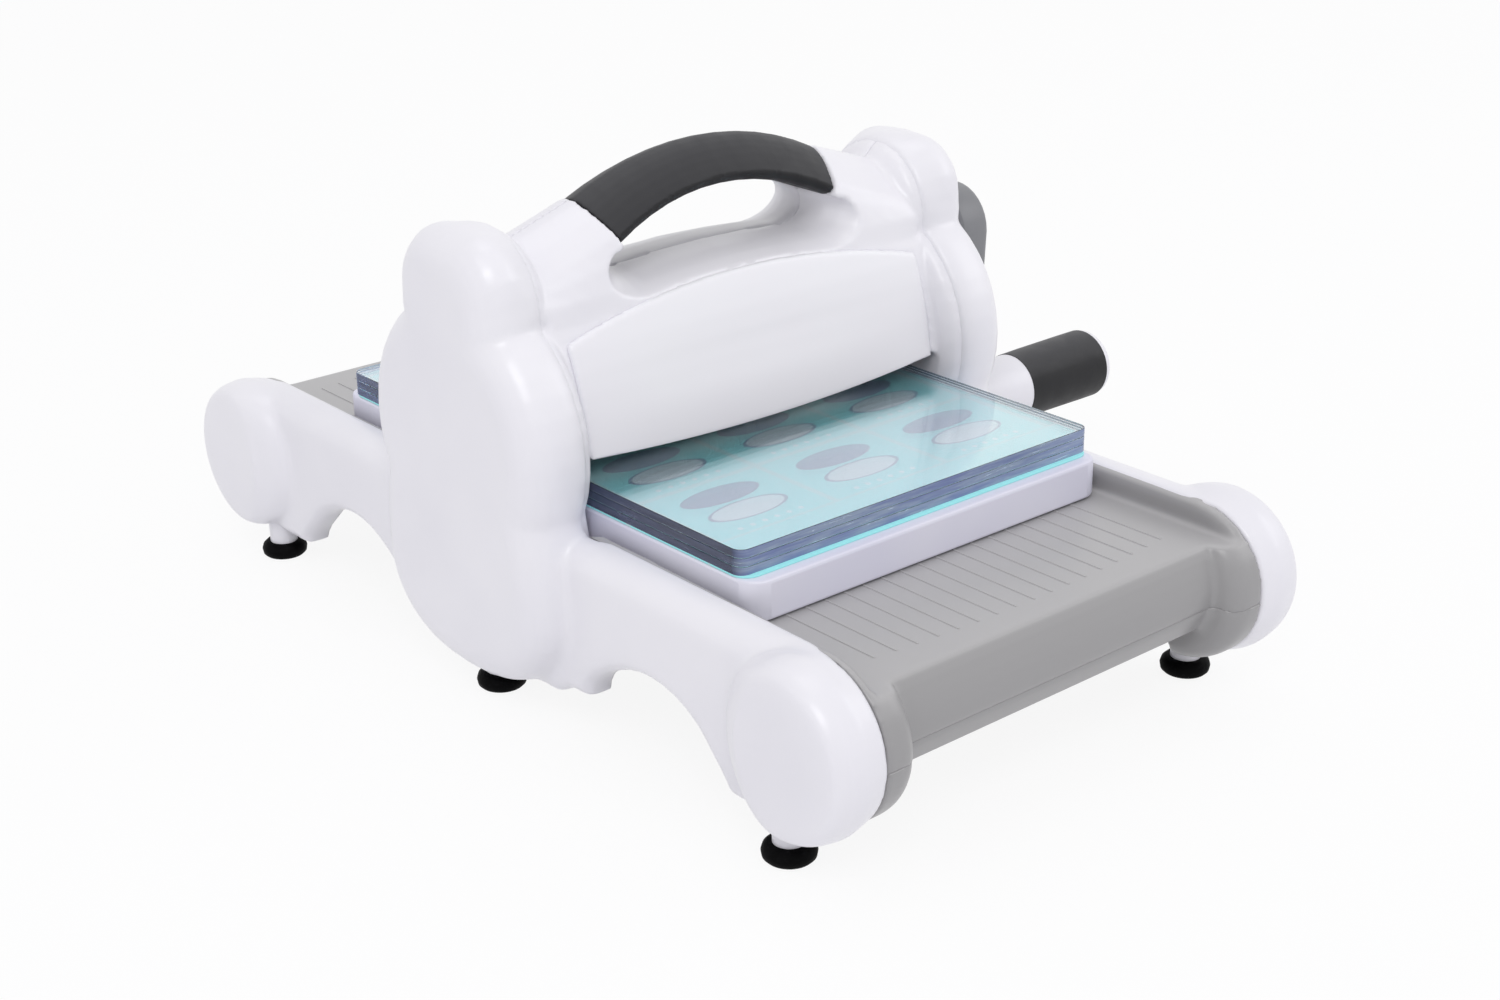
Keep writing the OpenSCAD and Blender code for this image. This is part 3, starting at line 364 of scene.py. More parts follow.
def soft_touch(name, pale, deep):
    """Soft-touch elastomer over a hard core: dull, with a fine spark-eroded grain and a painted sheen that
    makes faces that look up paler than the sides.
    """
    tree, shader, where = new_material(name)
    feed(tree, shader, {"Base Color": painted_top_light_tone(tree, deep, pale), "IOR": 1.5, "Specular IOR Level": 0.3})
    polish_over(tree, shader, grain(tree, where, 6), 0.44, 0.54)
    # Sparks leave pits of about 0.1 mm, which are too fine to show, so they are drawn at 0.7 mm
    relief(tree, shader, grain(tree, where, 0.7, detail=2), 0.035, 0.6)


def moulded_rubber(name, colour, worn):
    """Black moulded rubber: matt, dusted grey where it rubs."""
    tree, shader, where = new_material(name)
    dust = grain(tree, where, 5, detail=5, roughness=0.6)
    tone = tone_over(tree, dust, 0.45, 0.85, linear(colour), linear(worn))
    feed(tree, shader, {"Base Color": tone, "Specular IOR Level": 0.05})
    polish_over(tree, shader, dust, 0.45, 0.7)
    # The grit of the rubber's mould is about 0.2 mm across and is drawn at 0.9 mm so that it shows
    relief(tree, shader, grain(tree, where, 0.9), 0.03, 0.4)


def turned_metal(name, colour, roughness):
    """Turned or ground metal: fine streaks that run round the part."""
    tree, shader, where = new_material(name)
    # A turning tool leaves a mark every 0.05 mm or so, drawn at 0.25 mm so that the streaks show
    streak = grain(tree, where, 0.25, detail=4, stretch=(1, 30, 30))
    base = linear(colour)
    shade = tuple(c * 0.86 for c in base[:3]) + (1.0,)
    feed(tree, shader, {"Base Color": tone_over(tree, streak, 0.3, 0.7, shade, base), "Metallic": 1.0})
    polish_over(tree, shader, streak, roughness - 0.06, roughness + 0.1)
    relief(tree, shader, streak, 0.01, 0.3)


def cast_acrylic(name, tint):
    """Face of a clear cutting pad: nearly colourless, with fine knife marks."""
    tree, shader, where = new_material(name)
    # Knife marks are about 0.1 mm wide and lie in bundles of about 1.6 mm, of which the bundles show
    cuts = grain(tree, where, 1.6, detail=6, roughness=0.7, stretch=(1, 9, 1))
    feed(tree, shader, {"Base Color": linear(tint), "Transmission Weight": 1.0, "IOR": 1.49})
    polish_over(tree, shader, cuts, 0.0, 0.03, 0.4, 0.75)
    relief(tree, shader, cuts, 0.002)
    let_light_through(tree, shader, "#fefeff")


def acrylic_edge(name, shaded_side_tint, lit_end_tint):
    """Edge of a clear cutting pad: blue, with painted streaks of the light that it gathers, and painted light
    that makes the ends of the pad paler than its long sides, which carry painted shade.
    """
    tree, shader, where = new_material(name)
    # The light that the edge gathers lies in streaks about 1.5 mm high and 20 mm long
    streak = grain(tree, where, 3, detail=5, roughness=0.65, stretch=(7, 7, 0.5))
    # Painted light and shade by side: the ends of the pad take the lit tint and its long sides the shaded one
    normal = add_node(tree, "ShaderNodeTexCoord").outputs["Normal"]
    toward_lit_end = add_node(tree, "ShaderNodeSeparateXYZ", {"Vector": normal}).outputs["Y"]
    share = add_node(tree, "ShaderNodeMath", {0: toward_lit_end}, operation="ABSOLUTE").outputs[0]
    tones = []
    for edge in (shaded_side_tint, lit_end_tint):
        # Each tint gets painted streaks of gathered light that are brighter than the tint
        painted_streak_light = tuple(min(1.0, c * 1.7 + 0.05) for c in linear(edge)[:3]) + (1.0,)
        tones.append(tone_over(tree, streak, 0.38, 0.68, linear(edge), painted_streak_light))
    sides = {"Factor": share, "A": tones[0], "B": tones[1]}
    colour = add_node(tree, "ShaderNodeMix", sides, data_type="RGBA").outputs["Result"]
    feed(tree, shader, {"Base Color": colour, "Transmission Weight": 0.5, "IOR": 1.49})
    polish_over(tree, shader, streak, 0.08, 0.3)
    relief(tree, shader, streak, 0.05)
    let_light_through(tree, shader, "#e8ebf8")


def oval_radius(tree, place, middle_y, half_sizes):
    """How far a place is from the middle of an oval; 1 on its outline."""
    from_middle = {0: place, 1: (0, middle_y, 0)}
    from_middle = add_node(tree, "ShaderNodeVectorMath", from_middle, operation="SUBTRACT").outputs[0]
    share = {0: from_middle, 1: half_sizes}
    share = add_node(tree, "ShaderNodeVectorMath", share, operation="DIVIDE").outputs[0]
    return add_node(tree, "ShaderNodeVectorMath", {0: share}, operation="LENGTH").outputs["Value"]


def place_in_field(tree, where, corner, field_x, field_y):
    """Place on the card in millimetres from the middle of the field that it is in."""
    place = where
    for operation, operand in (
        ("SUBTRACT", corner),
        ("DIVIDE", (field_x * MM, field_y * MM, 1)),
        ("FRACTION", (0, 0, 0)),
        ("SUBTRACT", (0.5, 0.5, 0)),
        ("MULTIPLY", (field_x, field_y, 0)),
    ):
        step = {0: place, 1: operand}
        place = add_node(tree, "ShaderNodeVectorMath", step, operation=operation).outputs[0]
    return place


def in_dot_row(tree, field, beside):
    """1 on the rings of the row of dots, and 0 elsewhere."""
    cell = {0: field, 1: (DOT_PITCH, FAR, FAR), 2: (0, -FAR, -FAR)}
    cell = add_node(tree, "ShaderNodeVectorMath", cell, operation="WRAP").outputs[0]
    cell = {0: cell, 1: (DOT_PITCH / 2, 0, 0)}
    cell = add_node(tree, "ShaderNodeVectorMath", cell, operation="SUBTRACT").outputs[0]
    ring = {0: oval_radius(tree, cell, DOT_ROW_Y, (DOT_R, DOT_R, 1)), 1: 1.0, 2: DOT_LINE}
    ring = add_node(tree, "ShaderNodeMath", ring, operation="COMPARE").outputs[0]
    across = add_node(tree, "ShaderNodeSeparateXYZ", {"Vector": beside}).outputs["X"]
    row = add_node(tree, "ShaderNodeMath", {0: across, 1: DOT_ROW_HALF}, operation="LESS_THAN").outputs[0]
    return add_node(tree, "ShaderNodeMath", {0: ring, 1: row}, operation="MULTIPLY").outputs[0]


def card_layers(tree, where, ground, pale, ink):
    """Layers of the card's print, from the lowest: a mask, its share and its tone."""
    low, high = (Vector(corner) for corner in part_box("printed_sheet"))
    corner = (low.x + CARD_SIDE * MM, low.y + CARD_FOOT * MM, 0)
    field_x = (high.x - low.x - 2 * CARD_SIDE * MM) / CARD_FIELDS[0] / MM
    field_y = (high.y - low.y - (CARD_FOOT + CARD_HEAD) * MM) / CARD_FIELDS[1] / MM
    field = place_in_field(tree, where, corner, field_x, field_y)
    beside = add_node(tree, "ShaderNodeVectorMath", {0: field}, operation="ABSOLUTE").outputs[0]
    past = {0: beside, 1: (field_x / 2 - FIELD_LINE, field_y / 2 - FIELD_LINE, 0)}
    past = add_node(tree, "ShaderNodeVectorMath", past, operation="SUBTRACT").outputs[0]
    past = add_node(tree, "ShaderNodeSeparateXYZ", {"Vector": past}).outputs
    past = add_node(tree, "ShaderNodeMath", {0: past["X"], 1: past["Y"]}, operation="MAXIMUM").outputs[0]
    line = add_node(tree, "ShaderNodeMath", {0: past, 1: 0.0}, operation="GREATER_THAN").outputs[0]
    layers = [(line, FIELD_LINE_COVER, pale)]
    for middle_y, tone in OVALS:
        radius = oval_radius(tree, field, middle_y, OVAL_HALF)
        inside = add_node(tree, "ShaderNodeMath", {0: radius, 1: 1.0}, operation="LESS_THAN").outputs[0]
        rim = {0: radius, 1: 1.0, 2: OVAL_LINE}
        outline = add_node(tree, "ShaderNodeMath", rim, operation="COMPARE").outputs[0]
        layers += [(inside, OVAL_COVER, tone), (outline, OVAL_COVER, ink)]
    along = add_node(tree, "ShaderNodeSeparateXYZ", {"Vector": where}).outputs["Y"]
    foot = add_node(tree, "ShaderNodeMath", {0: along, 1: corner[1]}, operation="LESS_THAN").outputs[0]
    return layers + [(in_dot_row(tree, field, beside), 1.0, DOT_TONE), (foot, 1.0, ground)]


def printed_card(name, ground, pale, ink):
    """Printed card in teal, with a plain grid of fields that each hold two ovals and a row of dots."""
    tree, shader, where = new_material(name)
    colour = linear(ground)
    for mask, share, tone in card_layers(tree, where, ground, pale, ink):
        share = add_node(tree, "ShaderNodeMath", {0: mask, 1: share}, operation="MULTIPLY").outputs[0]
        tones = {"Factor": share, "A": colour, "B": linear(tone)}
        colour = add_node(tree, "ShaderNodeMix", tones, data_type="RGBA").outputs["Result"]
    feed(tree, shader, {"Base Color": colour, "Roughness": 0.45})
    # Fibres of card are about 0.05 mm wide, which is too fine to show, so they are drawn at 0.5 mm
    relief(tree, shader, grain(tree, where, 0.5), 0.01)


def make_materials(look):
    """Every finish of the machine, by name."""
    moulded_plastic("white_gloss_abs", look.shell_pale, look.shell_deep, 0.3)
    moulded_plastic("white_panel_abs", look.panel_pale, look.shell_pale, 0.29)
    # Trays: their tops carry painted light and their sides painted shade
    moulded_plastic("grey_grained_abs", look.tray_top_painted_light, look.tray_side_painted_shade, 0.32, 0.006, with_painted_top_light=True)
    # Ribs: the trays' painted top light all over
    moulded_plastic("grey_rib_abs", look.tray_top_painted_light, look.tray_top_painted_light, 0.34)
    moulded_plastic("grey_crank_abs", look.arm_pale, look.arm_deep, 0.36, 0.02, 0.8)
    moulded_plastic("white_platform_abs", "#e6e5f1", "#dedded", 0.34)
    moulded_plastic("natural_nylon", "#e6e3d6", "#dad6c6", 0.42, 0.02, 0.2)
    moulded_plastic("black_acetal", "#2a2a2c", "#222224", 0.35, 0.02, 0.3)
    # Grips: a painted sheen on the tops and painted shade on the sides
    soft_touch("charcoal_soft_touch", look.grip_top_painted_sheen, look.grip_side_painted_shade)
    moulded_rubber("black_rubber", "#060607", "#101011")
    turned_metal("turned_steel", "#c4c6c8", 0.3)
    turned_metal("zinc_plated_steel", "#b9bcc0", 0.34)
    turned_metal("sintered_bronze", "#b98a4a", 0.4)
    cast_acrylic("clear_acrylic", "#fcfeff")
    acrylic_edge("clear_acrylic_edge", look.pad_side_painted_shade, look.pad_end_painted_light)
    printed_card("printed_card", look.card_ground, look.card_lines, "#8a90b0")


# ---------------------------------------------------------------------------- tools


def deselect_all():
    """Leaves edit mode and clears the selection."""
    if bpy.context.object and bpy.context.object.mode != "OBJECT":
        bpy.ops.object.mode_set(mode="OBJECT")
    bpy.ops.object.select_all(action="DESELECT")


def activate(piece):
    """Makes one object the only selected and active one."""
    deselect_all()
    piece.select_set(True)
    bpy.context.view_layer.objects.active = piece


def apply_modifier(piece, kind, **settings):
    """Adds a modifier with its settings and applies it."""
    activate(piece)
    modifier = piece.modifiers.new(kind.title(), kind)
    for key, value in settings.items():
        setattr(modifier, key, value)
    bpy.ops.object.modifier_apply(modifier=modifier.name)


def settle(piece):
    """Puts a piece's place, turn and size into its mesh."""
    activate(piece)
    bpy.ops.object.transform_apply(location=True, rotation=True, scale=True)


def finish_piece(piece, body, slot, *materials, angle=35.0):
    """Names the body of a piece, gives it its materials and smooths its shading; its slot is not used."""
    activate(piece)
    piece.data.materials.clear()
    for name in materials:
        piece.data.materials.append(MATERIALS[name])
    bpy.ops.object.shade_smooth_by_angle(angle=math.radians(angle))
    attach(piece, body)


def reshape(piece, change):
    """Runs change on the mesh of a piece."""
    shape = bmesh.new()
    shape.from_mesh(piece.data)
    change(shape)
    shape.to_mesh(piece.data)
    shape.free()


def merge_corners(shape):
    """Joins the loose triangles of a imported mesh."""
    bmesh.ops.remove_doubles(shape, verts=shape.verts, dist=1e-6)


def copy_of(node, name):
    """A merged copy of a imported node's mesh, as a new object."""
    piece = bpy.data.objects.new(name, frame["nodes"][node].data.copy())
    bpy.context.scene.collection.objects.link(piece)
    reshape(piece, merge_corners)
    for attribute in [a for a in piece.data.attributes if a.name.startswith("custom_normal")]:
        piece.data.attributes.remove(attribute)
    return piece


def body_of(node):
    """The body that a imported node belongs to."""
    return next(b for b, nodes in frame["record"]["behaviour"]["bodies"].items() if node in nodes)


def smooth_stand_in(node, slot, material, angle=35.0):
    """Replaces a node by its merged copy, shaded smooth across the angle."""
    piece = copy_of(node, node + "_surface")
    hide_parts(node)
    finish_piece(piece, body_of(node), slot, material, angle=angle)


def mesh_vectors(items, name):
    """A vector property of all vertices, as rows of three numbers."""
    values = np.empty(len(items) * 3)
    items.foreach_get(name, values)
    return values.reshape(-1, 3)


def crease_weights(piece):
    """Vertex group that is strong in the concave creases of a mesh and fades away from them."""
    mesh = piece.data
    points = mesh_vectors(mesh.vertices, "co")
    normals = mesh_vectors(mesh.vertices, "normal")
    edges = np.empty(len(mesh.edges) * 2, dtype=np.int64)
    mesh.edges.foreach_get("vertices", edges)
    edges = edges.reshape(-1, 2)
    degree = np.bincount(edges.ravel(), minlength=len(points)).astype(float)

    def average(values):
        """Mean of the neighbours of each vertex."""
        total = np.zeros_like(values)
        np.add.at(total, edges[:, 0], values[edges[:, 1]])
        np.add.at(total, edges[:, 1], values[edges[:, 0]])
        return total / np.maximum(degree, 1)[:, None]

    length = np.linalg.norm(points[edges[:, 0]] - points[edges[:, 1]], axis=1).mean()
    hollow = (np.einsum("ij,ij->i", average(points) - points, normals) / length)[:, None]
    for _ in range(CREASE_CALM):
        hollow = average(hollow)
    weight = np.clip((hollow - CREASE_START) * CREASE_GAIN, 0, 1)
    for _ in range(CREASE_RINGS):
        weight = np.maximum(weight * CREASE_FADE, average(weight))
    level = np.rint(np.clip(weight[:, 0], 0, 1) * CREASE_STEPS)
    group = piece.vertex_groups.new(name="creases")
    for step in range(1, CREASE_STEPS + 1):
        chosen = np.nonzero(level == step)[0]
        if len(chosen):
            group.add(chosen.tolist(), step / CREASE_STEPS, "REPLACE")
    return group.name


def sculpted_stand_in(
    node, slot, material, voxel_mm, crease_rounds=0, rounds=4, grow_mm=0.0, prepare=None, shape_mesh=None
):
    """Replaces a node by a remeshed copy whose edges and creases are blended."""
    piece = copy_of(node, node + "_skin")
    if prepare:
        reshape(piece, prepare)
    apply_modifier(piece, "REMESH", mode="VOXEL", voxel_size=voxel_mm * MM, adaptivity=0.0)
    if shape_mesh:
        reshape(piece, shape_mesh)
    apply_modifier(piece, "SMOOTH", factor=0.5, iterations=rounds)
    if crease_rounds:
        for _ in range(CREASE_PASSES):
            group = crease_weights(piece)
            apply_modifier(piece, "SMOOTH", factor=0.5, iterations=crease_rounds, vertex_group=group)
            piece.vertex_groups.clear()
    if grow_mm:
        apply_modifier(piece, "DISPLACE", strength=grow_mm * MM, mid_level=0.0)
    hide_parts(node)
    finish_piece(piece, body_of(node), slot, material, angle=60.0)


def smooth_step(value, start, end):
    """0 at start, 1 at end, and an eased curve between."""
    t = min(1.0, max(0.0, (value - start) / (end - start)))
    return t * t * (3 - 2 * t)


def hump(value, rise, full, fall, end):
    """0 before rise, 1 from full to fall, and 0 again after end."""
    return smooth_step(value, rise, full) * (1 - smooth_step(value, fall, end))


# ------------------------------------------------------------------------- settings


def colour_setting(name, description, default):
    """A colour that a user would change, as sRGB hex."""
    return bpy.props.StringProperty(name=name, description=description, default=default)


class DieMachineLook(bpy.types.PropertyGroup):
    """Colours of the machine as sRGB hex, and the mesh and smoothing of its shells"""

    shell_pale: colour_setting("Shell", "White of the shells", "#f1f0f5")
    shell_deep: colour_setting("Shell drift", "Deeper white of the shells", "#ecebf1")
    panel_pale: colour_setting("Panel", "White of the cover panels", "#f2f2f6")
    # Trays: the tops carry painted light and the sides painted shade, both made from one grey
    tray_top_painted_light: colour_setting("Tray", "Grey of the tops of the trays", "#b2b1b2")
    tray_side_painted_shade: colour_setting("Tray sides", "Deeper grey of the sides of the trays", "#9b9a9b")
    arm_pale: colour_setting("Crank arm", "Grey of the crank arm", "#7c7d81")
    arm_deep: colour_setting("Crank drift", "Deeper grey of the arm", "#747579")
    # Grips: the tops carry a painted sheen and the sides painted shade, both made from one charcoal
    grip_top_painted_sheen: colour_setting("Grip", "Charcoal of the tops of the grips", "#434346")
    grip_side_painted_shade: colour_setting("Grip sides", "Deeper charcoal of the sides of the grips", "#1d1d20")
    # Pad edges: the long sides carry painted shade and the ends painted light
    pad_side_painted_shade: colour_setting("Pad edge", "Tint of the long pad edges", "#3c4769")
    pad_end_painted_light: colour_setting("Pad end", "Tint of the pad ends", "#9fb1ea")
    card_ground: colour_setting("Card", "Ground of the printed card", "#a6f4f4")
    card_lines: colour_setting("Card lines", "Pale lines of the card", "#cfeeec")
    shell_voxel: bpy.props.FloatProperty(
        name="Shell mesh", description="Mesh size of the shells in millimetres", default=1.25, min=0.8, max=3
    )
    crease_rounds: bpy.props.IntProperty(
        name="Creases", description="Smoothing rounds in the creases of the shells", default=40, min=0, max=80
    )


# ------------------------------------------------------------------------ operators


class DIEMACHINE_OT_finishes(bpy.types.Operator):
    """Makes the plastics, rubber, steel, acrylic and printed card"""

    bl_idname = "diemachine.finishes"
    bl_label = "Finishes"

    def execute(self, context):
        make_materials(context.scene.die_machine)
        return {"FINISHED"}


def ease_legs(shape):
    """Slopes the legs beside their arches, squares the rims of their lobes and laps them over the rails."""
    for point in shape.verts:
        x, y, z = abs(point.co.x) / MM, abs(point.co.y) / MM, point.co.z / MM
        toe = TOE_LIFT * hump(y, *TOE_STRETCH) * (1 - smooth_step(z, *TOE_FADE))
        heel = HEEL_SPREAD * hump(y, *HEEL_STRETCH) * (1 - smooth_step(z, *HEEL_FADE))
        lap = RAIL_LAP * hump(y, *LAP_STRETCH) * smooth_step(z, *LAP_RISE)
        lap *= 1 - smooth_step(x - SEAM_X, *LAP_DEPTH)
        radius = math.hypot(y - LOBE_Y, z - LOBE_Z)
        rim = RIM_SHARE * smooth_step(radius / LOBE_R, *RIM_RING) * smooth_step(x - SEAM_X, *RIM_DEPTH)
        swell = rim * max(0.0, LOBE_R - radius) / max(radius, 1.0)
        point.co.x -= math.copysign(lap * MM, point.co.x)
        point.co.y += math.copysign((heel + swell * (y - LOBE_Y)) * MM, point.co.y)
        point.co.z += (toe + swell * (z - LOBE_Z)) * MM


def square_shoulders(shape):
    """Squares the shoulders of a shell's top lobe."""
    for point in shape.verts:
        x, y, z = abs(point.co.x) / MM, abs(point.co.y) / MM, point.co.z / MM - TOP_LOBE_Z
        turn = math.degrees(math.atan2(y, z))
        share = SHOULDER_SHARE * hump(turn, *SHOULDER_TURN)
        share *= smooth_step(math.hypot(y, z) / TOP_LOBE_R, *SHOULDER_RING)
        share *= smooth_step(x - SEAM_X, *SHOULDER_DEPTH)
        point.co.y += math.copysign(share * y * MM, point.co.y)
        point.co.z += share * z * MM


def shape_shell(shape):
    """Gives a side shell the soft forms that its solid doesn't have."""
    ease_legs(shape)
    square_shoulders(shape)


class DIEMACHINE_OT_side_shells(bpy.types.Operator):
    """Side shells with blended lobes and legs"""

    bl_idname = "diemachine.side_shells"
    bl_label = "Side shells"

    def execute(self, context):
        look = context.scene.die_machine
        for node in ("side_shell_left", "side_shell_right"):
            sculpted_stand_in(
                node,
                "shell_white",
                "white_gloss_abs",
                voxel_mm=look.shell_voxel,
                crease_rounds=look.crease_rounds,
                shape_mesh=shape_shell,
            )
        return {"FINISHED"}


def reach_necks(shape):
    """Draws the ends of a housing half into the necks of the side shells."""
    for point in shape.verts:
        if abs(point.co.x) > (SEAM_X - END_DEPTH) * MM:
            point.co.x += math.copysign(NECK_REACH * MM, point.co.x)


def bow_panel(shape):
    """Bows the face of a panel out, and its lower edge down, towards the middle."""
    shape.normal_update()
    for point in shape.verts:
        side = math.copysign(1.0, point.co.y)
        middle = 1 - min(1.0, abs(point.co.x) / (PANEL_X * MM)) ** 2
        height = point.co.z / MM - PANEL_LOW
        face = smooth_step(side * point.normal.y, *FACE_TURN)
        point.co.y += side * BOW_OUT * middle * face * (1 - smooth_step(height, 0, BOW_OUT_HEIGHT)) * MM
        point.co.z -= BOW_DOWN * middle * (1 - smooth_step(height, 0, BOW_DOWN_HEIGHT)) * MM


class DIEMACHINE_OT_housing(bpy.types.Operator):
    """Upper housing in two halves, and its two cover panels"""

    bl_idname = "diemachine.housing"
    bl_label = "Upper housing"

    def execute(self, context):
        for node in ("housing_front", "housing_rear"):
            sculpted_stand_in(
                node,
                "shell_white",
                "white_gloss_abs",
                voxel_mm=1.0,
                crease_rounds=20,
                rounds=3,
                shape_mesh=reach_necks,
            )
        for node in ("panel_front", "panel_rear"):
            sculpted_stand_in(
                node, "panel_white", "white_panel_abs", voxel_mm=0.8, grow_mm=0.3, shape_mesh=bow_panel
            )
        return {"FINISHED"}


class DIEMACHINE_OT_handle(bpy.types.Operator):
    """Soft grip of the carry handle"""

    bl_idname = "diemachine.handle"
    bl_label = "Carry handle"

    def execute(self, context):
        sculpted_stand_in("handle_grip", "charcoal", "charcoal_soft_touch", voxel_mm=0.7)
        return {"FINISHED"}


def ease_tray(shape):
    """Takes the solid's ribs off a tray and rounds the top inner edges of its rails."""
    for point in shape.verts:
        if point.co.z > (TRAY_TOP + ABOVE_TRAY) * MM and abs(point.co.x) < CAD_RIBS_X * MM:
            point.co.z = TRAY_TOP * MM
    on_rail = {
        point
        for point in shape.verts
        if abs(abs(point.co.x) / MM - RAIL_X) < BESIDE_RAIL and point.co.z > (TRAY_TOP + ABOVE_TRAY) * MM
    }
    edges = [edge for edge in shape.edges if on_rail.issuperset(edge.verts)]
    bmesh.ops.bevel(
        shape, geom=edges, offset=RAIL_EDGE * MM, segments=5, profile=0.5, affect="EDGES", clamp_overlap=False
    )


def tray_ribs(name, side):
    """Low rounded ribs on a tray: one is modelled and copied across, and their ends lie on an arc."""
    deselect_all()
    place = Vector((0, side * (RIB_START + RIB_REACH) / 2, TRAY_TOP + RIB_RISE - RIB_DEPTH / 2))
    bpy.ops.mesh.primitive_cube_add(size=1, location=place * MM)
    rib = bpy.context.object
    rib.dimensions = Vector((RIB_WIDTH, RIB_REACH - RIB_START, RIB_DEPTH)) * MM
    settle(rib)
    apply_modifier(
        rib, "BEVEL", width=RIB_EDGE * MM, segments=3, limit_method="ANGLE", angle_limit=math.radians(60)
    )
    copies = []
    for index in range(-RIBS_BESIDE, RIBS_BESIDE + 1):
        x = index * RIB_PITCH
        mesh = rib.data.copy()
        for vertex in mesh.vertices:
            vertex.co.x += x * MM
            if abs(vertex.co.y) > (RIB_REACH - END_DEPTH) * MM:
                vertex.co.y -= side * RIB_ARC * (x / RAIL_X) ** 2 * MM
        copies.append(bpy.data.objects.new(name, mesh))
        bpy.context.scene.collection.objects.link(copies[-1])
    bpy.data.objects.remove(rib)
    activate(copies[0])
    for copy in copies:
        copy.select_set(True)
    bpy.ops.object.join()
    return bpy.context.object


def reach_tray(shape):
    """Draws the top of a tray's base up into the tray."""
    for point in shape.verts:
        if point.co.z > (BASE_TOP - END_DEPTH) * MM:
            point.co.z += BASE_REACH * MM


class DIEMACHINE_OT_trays(bpy.types.Operator):
    """Ribbed trays and the bases under them"""

    bl_idname = "diemachine.trays"
    bl_label = "Trays"

    def execute(self, context):
        for node, side in (("tray_front", -1), ("tray_rear", 1)):
            sculpted_stand_in(
                node,
                "tray_grey",
                "grey_grained_abs",
                voxel_mm=1.0,
                crease_rounds=14,
                rounds=3,
                prepare=ease_tray,
            )
            ribs = tray_ribs(node + "_ribs", side)
            finish_piece(ribs, "frame", "tray_grey", "grey_rib_abs", angle=60.0)
        for node in ("tray_base_front", "tray_base_rear"):
            sculpted_stand_in(
                node,
                "tray_grey",
                "grey_grained_abs",
                voxel_mm=1.1,
                crease_rounds=14,
                rounds=3,
                shape_mesh=reach_tray,
            )
        return {"FINISHED"}


class DIEMACHINE_OT_works(bpy.types.Operator):
    """Rollers, gears, side plates and fasteners"""

    bl_idname = "diemachine.works"
    bl_label = "Rollers and gears"

    def execute(self, context):
        for finish, nodes in WORKS.items():
            for node in nodes:
                mesh = frame["nodes"][node].data
                mesh.materials.clear()
                mesh.materials.append(MATERIALS[finish])
        return {"FINISHED"}


class DIEMACHINE_OT_crank(bpy.types.Operator):
    """Crank arm with its knob"""

    bl_idname = "diemachine.crank"
    bl_label = "Crank"

    def execute(self, context):
        smooth_stand_in("crank_arm", "arm_grey", "grey_crank_abs", angle=40.0)
        smooth_stand_in("knob_collar", "shell_white", "white_gloss_abs")
        smooth_stand_in("knob_grip", "charcoal", "charcoal_soft_touch")
        smooth_stand_in("knob_cap", "shell_white", "white_gloss_abs", angle=50.0)
        return {"FINISHED"}


class DIEMACHINE_OT_feet(bpy.types.Operator):
    """Rubber feet on their stems"""

    bl_idname = "diemachine.feet"
    bl_label = "Feet"

    def execute(self, context):
        smooth_stand_in("foot_stems", "shell_white", "white_gloss_abs")
        smooth_stand_in("foot_pads", "rubber_black", "black_rubber", angle=50.0)
        return {"FINISHED"}


def rounded_plate(node, corner_mm, edge_mm, gap_mm):
    """Replaces a node by a plate with round corners and eased edges, with a gap above and below."""
    low, high = (Vector(corner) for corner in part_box(node))
    low.z += gap_mm * MM
    high.z -= gap_mm * MM
    deselect_all()
    bpy.ops.mesh.primitive_cube_add(size=1, location=(low + high) / 2)
    piece = bpy.context.object
    piece.name = node + "_surface"
    piece.dimensions = high - low
    settle(piece)
    bpy.ops.object.mode_set(mode="EDIT")
    bpy.ops.mesh.select_mode(type="EDGE")
    bpy.ops.mesh.select_all(action="DESELECT")
    bpy.ops.object.mode_set(mode="OBJECT")
    for edge in piece.data.edges:
        a, b = (piece.data.vertices[i].co for i in edge.vertices)
        edge.select = abs(a.z - b.z) > 1e-6
    bpy.ops.object.mode_set(mode="EDIT")
    bpy.ops.mesh.bevel(offset=corner_mm * MM, segments=8, affect="EDGES")
    bpy.ops.object.mode_set(mode="OBJECT")
    apply_modifier(
        piece, "BEVEL", width=edge_mm * MM, segments=2, limit_method="ANGLE", angle_limit=math.radians(60)
    )
    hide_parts(node)
    return piece


def flatten_shading(plate):
    """Shades the large faces of a plate flat, and leaves its eased edges smooth."""
    for face in plate.data.polygons:
        face.use_smooth = abs(face.normal.z) < LEVEL_TURN and face.area < LARGE_FACE


def mark_rim(plate):
    """Gives the second finish of a plate to the faces that don't look up or down."""
    for face in plate.data.polygons:
        face.material_index = 1 if abs(face.normal.z) < RIM_TURN else 0


class DIEMACHINE_OT_stack(bpy.types.Operator):
    """Platform, printed card and clear pads"""

    bl_idname = "diemachine.stack"
    bl_label = "Stack"

    def execute(self, context):
        for node, slot, finishes, corner_mm, edge_mm, gap_mm in STACK:
            plate = rounded_plate(node, corner_mm, edge_mm, gap_mm)
            finish_piece(plate, "stack", slot, *finishes)
            if len(finishes) > 1:
                mark_rim(plate)
            flatten_shading(plate)
        return {"FINISHED"}


def seen_directly(tree):
    """1 for what the camera, gloss and glass see, and 0 for light that falls on things."""
    path = add_node(tree, "ShaderNodeLightPath").outputs
    rays = {0: path["Is Camera Ray"], 1: path["Is Glossy Ray"]}
    seen = add_node(tree, "ShaderNodeMath", rays, operation="MAXIMUM").outputs[0]
    rays = {0: seen, 1: path["Is Transmission Ray"]}
    return add_node(tree, "ShaderNodeMath", rays, operation="MAXIMUM").outputs[0]


